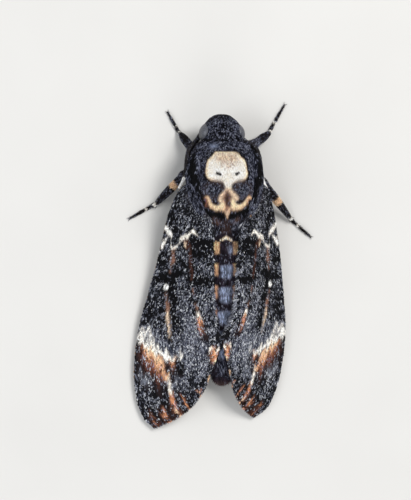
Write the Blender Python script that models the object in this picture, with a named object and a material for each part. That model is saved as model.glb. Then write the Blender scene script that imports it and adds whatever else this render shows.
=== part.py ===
"""A death's head hawkmoth at rest, life size, with its wings folded like a roof over its body.

Sizes are in millimetres, and MM turns them into metres. +X is the moth's right, +Y is forwards,
towards its head, and +Z is up from the floor that it stands on. Each solid has the outline of the
fur or scales that cover it.
"""

import math

import bmesh
import bpy
import numpy as np

MM = 0.001
CLEARANCE = 0.3

# Body stations from front to back: y, middle x, half width, top z, bottom z.
HEAD = (
    (33.2, -0.1, 0.5, 8.7, 8.1),
    (32.85, -0.1, 1.8, 10.2, 6.8),
    (31.9, -0.1, 2.8, 11.6, 5.6),
    (30.7, -0.1, 3.5, 12.7, 4.8),
    (29.4, -0.1, 4.1, 13.3, 4.3),
    (28.2, 0.0, 4.6, 13.5, 4.1),
    (27.15, 0.0, 5.0, 13.4, 4.1),
)
COLLAR = (
    (26.85, 0.0, 5.5, 13.5, 3.9),
    (26.3, 0.0, 6.2, 14.4, 3.6),
    (25.15, 0.0, 6.7, 15.1, 3.3),
)
THORAX = (
    (24.85, 0.0, 6.6, 15.0, 3.2),
    (23.8, 0.0, 7.0, 15.9, 3.0),
    (21.0, 0.0, 7.4, 17.0, 2.6),
    (18.0, 0.0, 7.5, 17.5, 2.5),
    (15.0, 0.0, 7.2, 17.3, 2.5),
    (12.2, 0.0, 6.4, 16.2, 2.4),
    (10.2, 0.0, 5.7, 14.7, 2.2),
    (8.3, 0.0, 5.3, 13.1, 2.0),
)
ABDOMEN = (
    (8.0, 0.0, 5.3, 12.7, 1.8),
    (6.0, 0.1, 5.7, 12.8, 1.2),
    (2.5, 0.0, 6.1, 12.8, 0.8),
    (-3.0, 0.0, 6.2, 12.4, 0.5),
    (-8.5, 0.0, 5.9, 11.5, 0.4),
    (-13.5, 0.0, 5.2, 10.1, 0.3),
    (-18.0, 0.1, 4.2, 8.4, 0.4),
    (-21.5, 0.4, 3.2, 6.8, 0.7),
    (-24.0, 0.7, 2.4, 5.7, 1.2),
    (-25.4, 0.9, 1.5, 4.7, 1.8),
    (-25.9, 0.9, 0.4, 3.5, 3.0),
)
RINGS = {"head": 11, "collar": 4, "thorax": 13, "abdomen": 19}
BODY_SIDES = 22
ROUNDNESS = 2.2  # exponent of the body's cross-section: 2 is an ellipse, more is squarer

EYE_CENTRE = (3.4, 29.2, 8.8)
EYE_RADII = (1.65, 2.15, 2.35)
EYE_TOE_IN = math.radians(20)  # how far the front of each eye turns towards the middle
HEAD_MIDDLE = -0.1

# The rest of the paths have rows of x, y, z and half breadth.
PALP = (
    (1.5, 29.0, 3.9, 0.7),
    (1.7, 30.5, 4.1, 1.1),
    (1.6, 31.8, 5.2, 1.05),
    (1.3, 32.4, 6.9, 0.55),
)
PROBOSCIS_CENTRE = (-0.1, 29.9, 2.6)
PROBOSCIS_RADIUS = 0.3
PROBOSCIS_COIL = (0.55, 1.35)  # inner and outer radius of the coil's middle line
PROBOSCIS_TURNS = 1.25

# Antennae: out of the brow below each eye, then back under it and along the thorax.
ANTENNA_LEFT = (
    (-1.9, 31.4, 8.4, 0.4),
    (-2.6, 31.5, 7.2, 0.42),
    (-3.1, 31.0, 6.3, 0.45),
    (-3.9, 29.6, 5.6, 0.5),
    (-5.4, 27.4, 5.9, 0.54),
    (-7.0, 25.6, 7.1, 0.55),
    (-7.6, 23.9, 8.0, 0.55),
    (-7.9, 21.9, 8.4, 0.53),
    (-8.1, 20.1, 8.4, 0.5),
    (-8.6, 18.5, 8.4, 0.42),
    (-9.5, 17.0, 8.5, 0.3),
)
ANTENNA_RIGHT = (
    (1.7, 31.4, 8.4, 0.4),
    (2.4, 31.5, 7.2, 0.42),
    (2.9, 31.0, 6.3, 0.45),
    (3.7, 29.6, 5.6, 0.5),
    (5.8, 27.5, 6.0, 0.54),
    (7.7, 25.9, 7.5, 0.55),
    (8.3, 24.0, 8.4, 0.55),
    (8.6, 21.9, 8.6, 0.53),
    (8.8, 20.2, 8.5, 0.5),
    (9.15, 18.7, 8.4, 0.42),
    (10.0, 17.0, 8.5, 0.3),
)

# Tegula, the flap of long scales over each wing's root. Its rows end with a half depth.
TEGULA = (
    (5.8, 25.0, 12.9, 0.8, 0.55),
    (6.8, 22.7, 12.8, 1.9, 0.85),
    (7.3, 19.2, 12.9, 2.3, 0.95),
    (6.9, 15.6, 13.1, 2.1, 0.9),
    (5.9, 12.6, 13.3, 1.5, 0.75),
    (5.0, 10.9, 13.4, 0.5, 0.35),
)
TEGULA_FACES = (0.92, 0.0, 0.4)  # the way that the right tegula's flat side faces

# Forewing edges from root to tip as they lie at rest. The left wing is spread a little more.
COSTA_LEFT = (
    (-6.4, 18.6, 10.6),
    (-9.5, 16.5, 9.4),
    (-11.4, 12.0, 7.4),
    (-12.5, 6.8, 5.2),
    (-13.6, 1.1, 3.8),
    (-15.6, -6.6, 2.5),
    (-17.3, -13.0, 1.9),
    (-18.5, -22.0, 1.4),
    (-18.1, -29.0, 1.2),
    (-16.5, -33.8, 1.1),
    (-14.5, -36.0, 1.1),
)
COSTA_RIGHT = (
    (6.6, 18.8, 10.6),
    (9.9, 17.0, 9.4),
    (11.7, 12.6, 7.4),
    (13.0, 7.4, 5.4),
    (14.1, 2.0, 4.0),
    (15.2, -6.8, 2.6),
    (15.8, -14.8, 1.8),
    (15.2, -22.0, 1.4),
    (13.8, -28.1, 1.2),
    (11.8, -32.2, 1.1),
    (9.2, -34.2, 1.1),
)
DORSUM_LEFT = (
    (-5.0, 12.6, 13.0),
    (-4.1, 10.6, 13.8),
    (-3.0, 8.0, 13.8),
    (-3.0, 3.4, 13.7),
    (-2.9, -2.0, 13.3),
    (-2.7, -7.4, 12.5),
    (-2.1, -11.8, 11.4),
    (-0.9, -16.3, 10.0),
    (-1.0, -19.0, 9.2),
    (-2.4, -23.8, 7.6),
)
DORSUM_RIGHT = (
    (5.2, 12.6, 13.0),
    (4.6, 10.6, 13.8),
    (3.1, 8.0, 13.8),
    (2.9, 3.4, 13.7),
    (2.8, -2.0, 13.3),
    (2.6, -7.5, 12.5),
    (1.8, -11.9, 11.4),
    (0.2, -16.5, 10.0),
    (0.6, -19.0, 9.2),
    (1.8, -22.9, 7.6),
)
WING_THICKNESS = 0.5
WING_ARCH = (0.2, 0.4, 0.45, 0.45, 0.45, 0.45, 0.4)  # rise above the chord, from root to tip
WING_LEAN = 3.3  # how much more the inner half of the wing rises, and the outer half less
TERMEN_BOW = {"left": 2.0, "right": 1.3}  # how far the outer edge bows past its chord
HINDWING_DROP = 0.85
HINDWING_SPAN = (0.10, 0.56)  # shares of the forewing's length that it lies under
HINDWING_CHORD = (0.16, 0.84)  # and of its width, from costa to dorsum
HINDWING_BOW = 0.14  # share of the forewing's length that its rounded outer edge adds
HINDWING_TAPER = 0.35  # how much of its width its outer edge has lost

# Legs: root in the thorax, knee, ankle and toe. The toes lie on the floor.
LEG_JOINTS = {
    "leg_front_left": ((-2.4, 23.6, 3.9), (-6.3, 26.4, 3.9), (-8.1, 29.4, 1.3), (-10.8, 34.2, 0.3)),
    "leg_front_right": ((2.6, 23.4, 3.9), (8.6, 27.4, 3.9), (12.2, 29.9, 1.3), (16.0, 36.4, 0.3)),
    "leg_mid_left": ((-3.0, 19.0, 4.2), (-8.0, 20.0, 5.9), (-13.6, 13.8, 1.3), (-19.4, 10.5, 0.3)),
    "leg_mid_right": ((3.0, 19.0, 4.2), (9.7, 18.6, 5.9), (17.0, 10.8, 1.3), (22.1, 6.5, 0.3)),
    "leg_hind_left": ((-3.0, 13.4, 4.2), (-8.6, 10.0, 4.6), (-11.4, 1.0, 1.3), (-10.6, -7.8, 0.3)),
    "leg_hind_right": ((3.0, 13.4, 4.2), (8.9, 9.8, 4.6), (12.0, 0.8, 1.3), (11.5, -8.1, 0.3)),
}
# Where each leg's radius is set: how many joints along from the root, and the radius there.
LEG_RADII = (
    (0.0, 0.85),
    (0.5, 1.15),
    (0.85, 0.95),
    (1.0, 0.8),
    (1.15, 0.85),
    (1.5, 0.95),
    (1.85, 0.7),
    (2.0, 0.5),
    (2.2, 0.45),
    (2.6, 0.42),
    (3.0, 0.3),
)
LEG_SIDES = 7
FOOT_STARTS = 2.2  # how many joints along from the root the leg reaches the floor

# Name: colour, roughness.
FINISHES = {
    "black fur": ((0.018, 0.019, 0.024), 0.8),
    "abdomen fur": ((0.06, 0.08, 0.11), 0.75),
    "forewing scales": ((0.035, 0.035, 0.042), 0.7),
    "hindwing scales": ((0.65, 0.36, 0.05), 0.7),
    "eye": ((0.02, 0.014, 0.012), 0.15),
    "horn": ((0.05, 0.03, 0.02), 0.4),
}


def clear_scene():
    for thing in list(bpy.data.objects):
        bpy.data.objects.remove(thing)


def finish(name, owner):
    """A material of that finish for the object called owner."""
    colour, roughness = FINISHES[name]
    made = bpy.data.materials.new(f"{name} of {owner}")
    made.use_nodes = True
    shader = made.node_tree.nodes["Principled BSDF"]
    shader.inputs["Base Color"].default_value = (*colour, 1.0)
    shader.inputs["Roughness"].default_value = roughness
    shader.inputs["Metallic"].default_value = 0.0
    return made


def unit(vectors):
    return vectors / np.linalg.norm(vectors, axis=-1, keepdims=True)


def smooth(keys, at):
    """The smooth curve through the rows of keys, read at shares from 0 to 1 of the way along them."""
    keys = np.array(keys, float)
    place = np.clip(np.asarray(at, float), 0, 1) * (len(keys) - 1)
    first = np.minimum(place.astype(int), len(keys) - 2)
    t = (place - first)[:, None]
    slopes = np.gradient(keys, axis=0)
    a, b = keys[first], keys[first + 1]
    leaving, arriving = slopes[first], slopes[first + 1]
    between = (1 + 2 * t) * (1 - t) ** 2 * a + t**2 * (3 - 2 * t) * b
    return between + t * (1 - t) ** 2 * leaving - t**2 * (1 - t) * arriving


def by_length(keys, at, samples=400):
    """The rows of the smooth curve through keys at shares of its length. They start with x, y, z."""
    rows = smooth(keys, np.linspace(0, 1, samples))
    steps = np.linalg.norm(np.diff(rows[:, :3], axis=0), axis=1)
    run = np.concatenate([[0], np.cumsum(steps)])
    return np.stack([np.interp(np.asarray(at) * run[-1], run, column) for column in rows.T], axis=-1)


def object_from(name, points, faces, material):
    """A mesh object from points in millimetres, with its faces turned outwards."""
    shape = bmesh.new()
    corners = [shape.verts.new(tuple(p * MM)) for p in points]
    for face in faces:
        shape.faces.new([corners[i] for i in face])
    bmesh.ops.recalc_face_normals(shape, faces=shape.faces)
    mesh = bpy.data.meshes.new(name)
    shape.to_mesh(mesh)
    shape.free()
    mesh.shade_smooth()
    mesh.set_sharp_from_angle(angle=math.radians(50))
    mesh.materials.append(finish(material, name))
    made = bpy.data.objects.new(name, mesh)
    bpy.context.scene.collection.objects.link(made)
    return made


def skin_rings(name, rings, material):
    """A closed solid over rings of points, with a flat cap at each end."""
    count, sides = rings.shape[:2]
    faces = [tuple(range(sides)), tuple(range((count - 1) * sides, count * sides))]
    for i in range(count - 1):
        for j in range(sides):
            here, beside = i * sides + j, i * sides + (j + 1) % sides
            faces.append((here, beside, beside + sides, here + sides))
    return object_from(name, rings.reshape(-1, 3), faces, material)


def as_cutter(thing):
    thing.hide_render = True
    thing.display_type = "WIRE"
    return thing


def cut(target, cutter):
    modifier = target.modifiers.new(f"clear of {cutter.name}", "BOOLEAN")
    modifier.object = cutter
    modifier.operation = "DIFFERENCE"
    modifier.solver = "EXACT"


def body_rings(stations, count, grow=0.0):
    """Cross-sections of the body through its stations, each side moved out by grow."""
    turn = np.linspace(0, 2 * math.pi, BODY_SIDES, endpoint=False)
    across = np.sign(np.sin(turn)) * np.abs(np.sin(turn)) ** (2 / ROUNDNESS)
    upward = np.sign(np.cos(turn)) * np.abs(np.cos(turn)) ** (2 / ROUNDNESS)
    rings = []
    for y, middle_x, half_width, top, bottom in smooth(stations, np.linspace(0, 1, count)):
        x = middle_x + (half_width + grow) * across
        z = (top + bottom) / 2 + ((top - bottom) / 2 + grow) * upward
        rings.append(np.stack([x, np.full_like(x, y), z], axis=1))
    rings = np.array(rings)
    rings[0, :, 1] += grow
    rings[-1, :, 1] -= grow
    return rings


def tube_rings(rows, sides, count, up=(0.0, 0.0, 1.0), grow=0.0):
    """Round rings along a path, or flat ones where its rows end with a half depth, towards up."""
    rows = by_length(rows, np.linspace(0, 1, count))
    middle, breadth, depth = rows[:, :3], rows[:, 3] + grow, rows[:, -1] + grow
    along = unit(np.gradient(middle, axis=0))
    side = unit(np.cross(along, np.array(up, float)))
    rise = np.cross(side, along)
    turn = np.linspace(0, 2 * math.pi, sides, endpoint=False)
    sideways = np.outer(breadth, np.sin(turn))[..., None] * side[:, None]
    upwards = np.outer(depth, np.cos(turn))[..., None] * rise[:, None]
    out = sideways + upwards
    start = middle[0] - along[0] * breadth[0] * 0.6 + out[0] * 0.55
    end = middle[-1] + along[-1] * breadth[-1] * 0.6 + out[-1] * 0.55
    return np.concatenate([start[None], middle[:, None] + out, end[None]])


def ball_rings(centre, radii, toe, sides, count, grow=0.0):
    """Rings from the front of an ellipsoid to its back, turned about the vertical by toe."""
    tilt = np.linspace(0.12, math.pi - 0.12, count)
    turn = np.linspace(0, 2 * math.pi, sides, endpoint=False)
    x = np.outer(np.sin(tilt), np.sin(turn)) * (radii[0] + grow)
    y = np.outer(np.cos(tilt), np.ones(sides)) * (radii[1] + grow)
    z = np.outer(np.sin(tilt), np.cos(turn)) * (radii[2] + grow)
    turned = (x * math.cos(toe) - y * math.sin(toe), x * math.sin(toe) + y * math.cos(toe), z)
    return np.stack(turned, axis=-1) + np.array(centre)


def make_body():
    """Head, collar, thorax and abdomen, parted by thin flat cuts. Returns the head and the cutters."""
    stations = {"head": HEAD, "collar": COLLAR, "thorax": THORAX, "abdomen": ABDOMEN}
    solids, cutters = {}, {}
    for name, rows in stations.items():
        material = "abdomen fur" if name == "abdomen" else "black fur"
        solids[name] = skin_rings(name, body_rings(rows, RINGS[name]), material)
        grown = body_rings(rows, RINGS[name], CLEARANCE)
        cutters[name] = as_cutter(skin_rings(f"cutter {name}", grown, material))
    return solids["head"], cutters


def make_eyes(head, cutters):
    """The two eyes, each set in a socket in the head."""
    for side, sign in (("left", -1), ("right", 1)):
        centre = (HEAD_MIDDLE + sign * EYE_CENTRE[0], *EYE_CENTRE[1:])
        toe = sign * EYE_TOE_IN
        skin_rings(f"eye_{side}", ball_rings(centre, EYE_RADII, toe, 14, 9), "eye")
        grown = ball_rings(centre, EYE_RADII, toe, 14, 9, CLEARANCE)
        cutters[f"eye_{side}"] = as_cutter(skin_rings(f"cutter eye {side}", grown, "eye"))
        cut(head, cutters[f"eye_{side}"])


def make_mouth(cutters):
    """Two upturned palps, and the short proboscis coiled between and behind them."""
    for side, sign in (("left", -1), ("right", 1)):
        rows = [(HEAD_MIDDLE + sign * x, y, z, radius) for x, y, z, radius in PALP]
        palp = skin_rings(f"palp_{side}", tube_rings(rows, 10, 7, up=(1, 0, 0)), "black fur")
        cut(palp, cutters["head"])
    turns = np.linspace(0, 1, 22)
    angle = turns * PROBOSCIS_TURNS * 2 * math.pi
    radius = PROBOSCIS_COIL[0] + (PROBOSCIS_COIL[1] - PROBOSCIS_COIL[0]) * turns
    x, y, z = PROBOSCIS_CENTRE
    thickness = np.full_like(turns, PROBOSCIS_RADIUS)
    coil = (np.full_like(turns, x), y - radius * np.sin(angle), z + radius * np.cos(angle), thickness)
    rings = tube_rings(np.stack(coil, axis=1), 8, 20, up=(1, 0, 0))
    cut(skin_rings("proboscis", rings, "horn"), cutters["head"])


def make_antennae(cutters):
    """Short thick feelers, laid back along the sides of the thorax."""
    for side, rows in (("left", ANTENNA_LEFT), ("right", ANTENNA_RIGHT)):
        antenna = skin_rings(f"antenna_{side}", tube_rings(rows, 8, 20), "black fur")
        cut(antenna, cutters["head"])
        cut(antenna, cutters[f"eye_{side}"])


def make_tegulae(cutters):
    """The scale flaps over the wing roots. They lie on the thorax and are cut to its shape."""
    for side, sign in (("left", -1), ("right", 1)):
        rows = [(sign * x, *rest) for x, *rest in TEGULA]
        facing = (sign * TEGULA_FACES[0], *TEGULA_FACES[1:])
        flap = skin_rings(f"tegula_{side}", tube_rings(rows, 12, 12, facing), "black fur")
        cut(flap, cutters["thorax"])
        cut(flap, cutters["collar"])
        grown = tube_rings(rows, 12, 12, facing, CLEARANCE)
        cutters[f"tegula_{side}"] = as_cutter(skin_rings(f"cutter tegula {side}", grown, "black fur"))


def wing_points(costa, dorsum, bow, u, v, drop=0.0):
    """Points of the wing's middle surface. u runs from root to tip and v from costa to dorsum."""
    shape, u, v = u.shape, u.ravel(), v.reshape(-1, 1)
    ahead, behind = by_length(costa, u), by_length(dorsum, u)
    chord = behind - ahead
    step = 0.01
    further = by_length(costa, u + step) + by_length(dorsum, u + step)
    nearer = by_length(costa, u - step) + by_length(dorsum, u - step)
    normal = unit(np.cross(further - nearer, chord))
    normal *= np.sign(normal[:, 2:])
    rearward = unit(np.cross(chord, normal))
    rearward *= -np.sign(rearward[:, 1:2])
    swell = 4 * v * (1 - v)
    rise = smooth(np.reshape(WING_ARCH, (-1, 1)), u) * swell * (1 + WING_LEAN * (v - 0.4)) - drop
    reach = bow * u[:, None] ** 4 * swell
    return (ahead + chord * v + normal * rise + rearward * reach).reshape(*shape, 3)


def sheet_solid(name, points, material):
    """A closed sheet WING_THICKNESS thick around a grid of points."""
    normal = unit(np.cross(np.gradient(points, axis=0), np.gradient(points, axis=1)))
    rows, columns = points.shape[:2]
    half = normal * WING_THICKNESS / 2
    both = np.concatenate([(points + half).reshape(-1, 3), (points - half).reshape(-1, 3)])
    index = np.arange(rows * columns).reshape(rows, columns)
    faces = []
    for i in range(rows - 1):
        for j in range(columns - 1):
            quad = (index[i, j], index[i + 1, j], index[i + 1, j + 1], index[i, j + 1])
            faces.append(quad)
            faces.append(tuple(k + index.size for k in quad))
    rim = [*index[0], *index[1:, -1], *index[-1, -2::-1], *index[-2:0:-1, 0]]
    for a, b in zip(rim, rim[1:] + rim[:1], strict=True):
        faces.append((a, b, b + index.size, a + index.size))
    return object_from(name, both, faces, material)


def hindwing_shares():
    """Where the hindwing's points lie on the forewing above it: a fan with a rounded outer edge."""
    out, back = np.meshgrid(np.linspace(0, 1, 13), np.linspace(0, 1, 7), indexing="ij")
    u = HINDWING_SPAN[0] + (HINDWING_SPAN[1] - HINDWING_SPAN[0]) * out
    u += HINDWING_BOW * out**2 * 4 * back * (1 - back)
    width = (HINDWING_CHORD[1] - HINDWING_CHORD[0]) * (1 - HINDWING_TAPER * out**3)
    v = sum(HINDWING_CHORD) / 2 + (back - 0.5) * width
    return u, v


def make_wings(cutters):
    """The roof of the two forewings, with a hindwing folded under each. All stop short of the thorax."""
    edges = {"left": (COSTA_LEFT, DORSUM_LEFT), "right": (COSTA_RIGHT, DORSUM_RIGHT)}
    for side, (costa, dorsum) in edges.items():
        bow = TERMEN_BOW[side]
        u, v = np.meshgrid(np.linspace(0, 1, 25), np.linspace(0, 1, 8), indexing="ij")
        upper = wing_points(costa, dorsum, bow, u, v)
        lower = wing_points(costa, dorsum, bow, *hindwing_shares(), HINDWING_DROP)
        forewing = sheet_solid(f"forewing_{side}", upper, "forewing scales")
        hindwing = sheet_solid(f"hindwing_{side}", lower, "hindwing scales")
        for wing in (forewing, hindwing):
            cut(wing, cutters[f"tegula_{side}"])
            cut(wing, cutters["thorax"])


def make_legs(cutters):
    """Six legs, each in one piece. The last part of each leg has a flat where it lies on the floor."""
    for name, joints in LEG_JOINTS.items():
        joints = np.array(joints)
        stops = np.array(LEG_RADII)
        path = np.stack([np.interp(stops[:, 0], range(4), column) for column in joints.T], axis=1)
        path[stops[:, 0] >= FOOT_STARTS, 2] = joints[-1, 2]
        rings = tube_rings(np.column_stack([path, stops[:, 1]]), LEG_SIDES, 23)
        rings[..., 2] = np.maximum(rings[..., 2], 0.0)
        leg = skin_rings(name, rings, "black fur")
        cut(leg, cutters["thorax"])
        cut(leg, cutters["collar"])


def centre_on_floor():
    """Moves every object sideways so that the origin is under the middle of the whole moth."""
    bpy.context.view_layer.update()
    graph = bpy.context.evaluated_depsgraph_get()
    low, high = np.full(3, np.inf), np.full(3, -np.inf)
    for thing in bpy.data.objects:
        if not thing.hide_render:
            places = np.array([v.co for v in thing.evaluated_get(graph).data.vertices])
            low = np.minimum(low, places.min(0))
            high = np.maximum(high, places.max(0))
    middle = (low + high) / 2
    for thing in bpy.data.objects:
        thing.location = (-middle[0], -middle[1], 0.0)


def main():
    clear_scene()
    head, cutters = make_body()
    make_eyes(head, cutters)
    make_mouth(cutters)
    make_antennae(cutters)
    make_tegulae(cutters)
    make_wings(cutters)
    make_legs(cutters)
    centre_on_floor()


main()
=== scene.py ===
"""The looks of a death's head hawkmoth at rest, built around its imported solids.

Lengths are in millimetres in the frame of the body's tables: +X is the moth's right, +Y is towards
its head and +Z is up. placed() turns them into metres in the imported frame.
"""

import math

import bpy
import numpy as np
from mathutils import Matrix, Vector
from mathutils.kdtree import KDTree


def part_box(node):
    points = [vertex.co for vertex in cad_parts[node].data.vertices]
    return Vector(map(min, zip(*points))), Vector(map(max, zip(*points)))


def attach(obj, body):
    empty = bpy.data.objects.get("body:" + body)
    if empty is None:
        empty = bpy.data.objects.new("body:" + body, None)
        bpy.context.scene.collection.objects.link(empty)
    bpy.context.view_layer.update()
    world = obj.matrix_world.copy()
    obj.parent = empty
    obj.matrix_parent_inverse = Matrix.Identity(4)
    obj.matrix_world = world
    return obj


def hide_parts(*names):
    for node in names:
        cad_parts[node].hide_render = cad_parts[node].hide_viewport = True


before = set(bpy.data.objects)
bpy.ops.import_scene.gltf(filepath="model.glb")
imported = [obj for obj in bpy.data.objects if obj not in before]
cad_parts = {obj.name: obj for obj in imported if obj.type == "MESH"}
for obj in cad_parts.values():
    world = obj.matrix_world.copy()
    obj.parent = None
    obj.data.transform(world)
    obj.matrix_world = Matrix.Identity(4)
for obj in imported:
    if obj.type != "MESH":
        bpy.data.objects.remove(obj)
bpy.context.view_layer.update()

MM = 0.001
SEED = 1758

# Body stations from front to back: y, middle x, half width, top z, bottom z.
HEAD = (
    (33.2, -0.1, 0.5, 8.7, 8.1), (32.85, -0.1, 1.8, 10.2, 6.8), (31.9, -0.1, 2.8, 11.6, 5.6),
    (30.7, -0.1, 3.5, 12.7, 4.8), (29.4, -0.1, 4.1, 13.3, 4.3), (28.2, 0.0, 4.6, 13.5, 4.1),
    (27.15, 0.0, 5.0, 13.4, 4.1),
)
COLLAR = (
    (26.85, 0.0, 5.5, 13.5, 3.9), (26.3, 0.0, 6.2, 14.4, 3.6), (25.15, 0.0, 6.7, 15.1, 3.3),
)
THORAX = (
    (24.85, 0.0, 6.6, 15.0, 3.2), (23.8, 0.0, 7.0, 15.9, 3.0), (21.0, 0.0, 7.4, 17.0, 2.6),
    (18.0, 0.0, 7.5, 17.5, 2.5), (15.0, 0.0, 7.2, 17.3, 2.5), (12.2, 0.0, 6.4, 16.2, 2.4),
    (10.2, 0.0, 5.7, 14.7, 2.2), (8.3, 0.0, 5.3, 13.1, 2.0),
)
ABDOMEN = (
    (8.0, 0.0, 5.3, 12.7, 1.8), (6.0, 0.1, 5.7, 12.8, 1.2), (2.5, 0.0, 6.1, 12.8, 0.8),
    (-3.0, 0.0, 6.2, 12.4, 0.5), (-8.5, 0.0, 5.9, 11.5, 0.4), (-13.5, 0.0, 5.2, 10.1, 0.3),
    (-18.0, 0.1, 4.2, 8.4, 0.4), (-21.5, 0.4, 3.2, 6.8, 0.7), (-24.0, 0.7, 2.4, 5.7, 1.2),
    (-25.4, 0.9, 1.5, 4.7, 1.8), (-25.9, 0.9, 0.4, 3.5, 3.0),
)
ROUNDNESS = 2.2
BODY_ENDS = (33.05, -25.4)

EYE_CENTRE = (3.4, 29.2, 8.8)
EYE_RADII = (1.65, 2.15, 2.35)
EYE_TOE_IN = math.radians(20)
HEAD_MIDDLE = -0.1

# Paths with rows of x, y, z and half breadth.
PALP = (
    (1.5, 29.0, 3.9, 0.7), (1.7, 30.5, 4.1, 1.1), (1.6, 31.8, 5.2, 1.05), (1.3, 32.4, 6.9, 0.55),
)
PROBOSCIS_CENTRE = (-0.1, 29.9, 2.6)
PROBOSCIS_RADIUS = 0.3
PROBOSCIS_COIL = (0.55, 1.35)
PROBOSCIS_TURNS = 1.25
ANTENNA_LEFT = (
    (-1.9, 31.4, 8.4, 0.4), (-2.6, 31.5, 7.2, 0.42), (-3.1, 31.0, 6.3, 0.45), (-3.9, 29.6, 5.6, 0.5),
    (-5.4, 27.4, 5.9, 0.54), (-7.0, 25.6, 7.1, 0.55), (-7.6, 23.9, 8.0, 0.55), (-7.9, 21.9, 8.4, 0.53),
    (-8.1, 20.1, 8.4, 0.5), (-8.6, 18.5, 8.4, 0.42), (-9.5, 17.0, 8.5, 0.3),
)
ANTENNA_RIGHT = (
    (1.7, 31.4, 8.4, 0.4), (2.4, 31.5, 7.2, 0.42), (2.9, 31.0, 6.3, 0.45), (3.7, 29.6, 5.6, 0.5),
    (5.8, 27.5, 6.0, 0.54), (7.7, 25.9, 7.5, 0.55), (8.3, 24.0, 8.4, 0.55), (8.6, 21.9, 8.6, 0.53),
    (8.8, 20.2, 8.5, 0.5), (9.15, 18.7, 8.4, 0.42), (10.0, 17.0, 8.5, 0.3),
)
TEGULA = (
    (5.8, 25.0, 12.9, 0.8, 0.55), (6.8, 22.7, 12.8, 1.9, 0.85), (7.3, 19.2, 12.9, 2.3, 0.95),
    (6.9, 15.6, 13.1, 2.1, 0.9), (5.9, 12.6, 13.3, 1.5, 0.75), (5.0, 10.9, 13.4, 0.5, 0.35),
)
TEGULA_FACES = (0.92, 0.0, 0.4)

# Forewing edges from root to tip.
COSTA = {
    "left": (
        (-6.4, 18.6, 10.6), (-9.5, 16.5, 9.4), (-11.4, 12.0, 7.4), (-12.5, 6.8, 5.2), (-13.6, 1.1, 3.8),
        (-15.6, -6.6, 2.5), (-17.3, -13.0, 1.9), (-18.5, -22.0, 1.4), (-18.1, -29.0, 1.2),
        (-16.5, -33.8, 1.1), (-14.5, -36.0, 1.1),
    ),
    "right": (
        (6.6, 18.8, 10.6), (9.9, 17.0, 9.4), (11.7, 12.6, 7.4), (13.0, 7.4, 5.4), (14.1, 2.0, 4.0),
        (15.2, -6.8, 2.6), (15.8, -14.8, 1.8), (15.2, -22.0, 1.4), (13.8, -28.1, 1.2), (11.8, -32.2, 1.1),
        (9.2, -34.2, 1.1),
    ),
}
DORSUM = {
    "left": (
        (-5.0, 12.6, 13.0), (-4.1, 10.6, 13.8), (-3.0, 8.0, 13.8), (-3.0, 3.4, 13.7), (-2.9, -2.0, 13.3),
        (-2.7, -7.4, 12.5), (-2.1, -11.8, 11.4), (-0.9, -16.3, 10.0), (-1.0, -19.0, 9.2),
        (-2.4, -23.8, 7.6),
    ),
    "right": (
        (5.2, 12.6, 13.0), (4.6, 10.6, 13.8), (3.1, 8.0, 13.8), (2.9, 3.4, 13.7), (2.8, -2.0, 13.3),
        (2.6, -7.5, 12.5), (1.8, -11.9, 11.4), (0.2, -16.5, 10.0), (0.6, -19.0, 9.2), (1.8, -22.9, 7.6),
    ),
}
WING_ARCH = (0.2, 0.4, 0.45, 0.45, 0.45, 0.45, 0.4)
WING_LEAN = 3.3
TERMEN_BOW = {"left": 2.0, "right": 1.3}
WING_SIZE = (48.5, 16.5)  # length of the middle line and usual width, for marks given as shares
HINDWING_DROP = 0.85
HINDWING_SPAN = (0.10, 0.56)
HINDWING_CHORD = (0.16, 0.84)
HINDWING_BOW = 0.14
HINDWING_TAPER = 0.35
MEMBRANE = 0.14  # thickness of a bare wing
VEIN_HEIGHT = 0.09
VEIN_WIDTH = 0.22
# Where each vein starts at the root and ends at the outer edge, as shares from costa to dorsum.
VEINS = (
    (0.03, 0.02), (0.12, 0.10), (0.20, 0.22), (0.26, 0.34), (0.34, 0.46), (0.45, 0.58), (0.58, 0.72),
    (0.82, 0.86),
)

LEG_JOINTS = {
    "leg_front_left": ((-2.4, 23.6, 3.9), (-6.3, 26.4, 3.9), (-8.1, 29.4, 1.3), (-10.8, 34.2, 0.3)),
    "leg_front_right": ((2.6, 23.4, 3.9), (8.6, 27.4, 3.9), (12.2, 29.9, 1.3), (16.0, 36.4, 0.3)),
    "leg_mid_left": ((-3.0, 19.0, 4.2), (-8.0, 20.0, 5.9), (-13.6, 13.8, 1.3), (-19.4, 10.5, 0.3)),
    "leg_mid_right": ((3.0, 19.0, 4.2), (9.7, 18.6, 5.9), (17.0, 10.8, 1.3), (22.1, 6.5, 0.3)),
    "leg_hind_left": ((-3.0, 13.4, 4.2), (-8.6, 10.0, 4.6), (-11.4, 1.0, 1.3), (-10.6, -7.8, 0.3)),
    "leg_hind_right": ((3.0, 13.4, 4.2), (8.9, 9.8, 4.6), (12.0, 0.8, 1.3), (11.5, -8.1, 0.3)),
}
LEG_RADII = (
    (0.0, 0.85), (0.5, 1.15), (0.85, 0.95), (1.0, 0.8), (1.15, 0.85), (1.5, 0.95), (1.85, 0.7), (2.0, 0.5),
    (2.2, 0.45), (2.6, 0.42), (3.0, 0.3),
)
FOOT_STARTS = 2.2
# Where the pale spots and the orange bands are: how many joints along from the root.
FOOT_SPOTS = (1.99, 2.35)
SHIN_BANDS = {"leg_mid_left": 1.33, "leg_mid_right": 1.5}

SKIN_VOXEL = 0.22
# How deep the skin lies under the solids, by y along the body.
BODY_DEPTH = ((33.2, 0.3), (30.0, 0.4), (26.0, 0.6), (20.0, 0.65), (12.0, 0.7), (7.0, 0.55), (-26.0, 0.4))
PART_DEPTH = {"palp": 0.25, "tegula": 0.3, "leg": 0.14}
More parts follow.
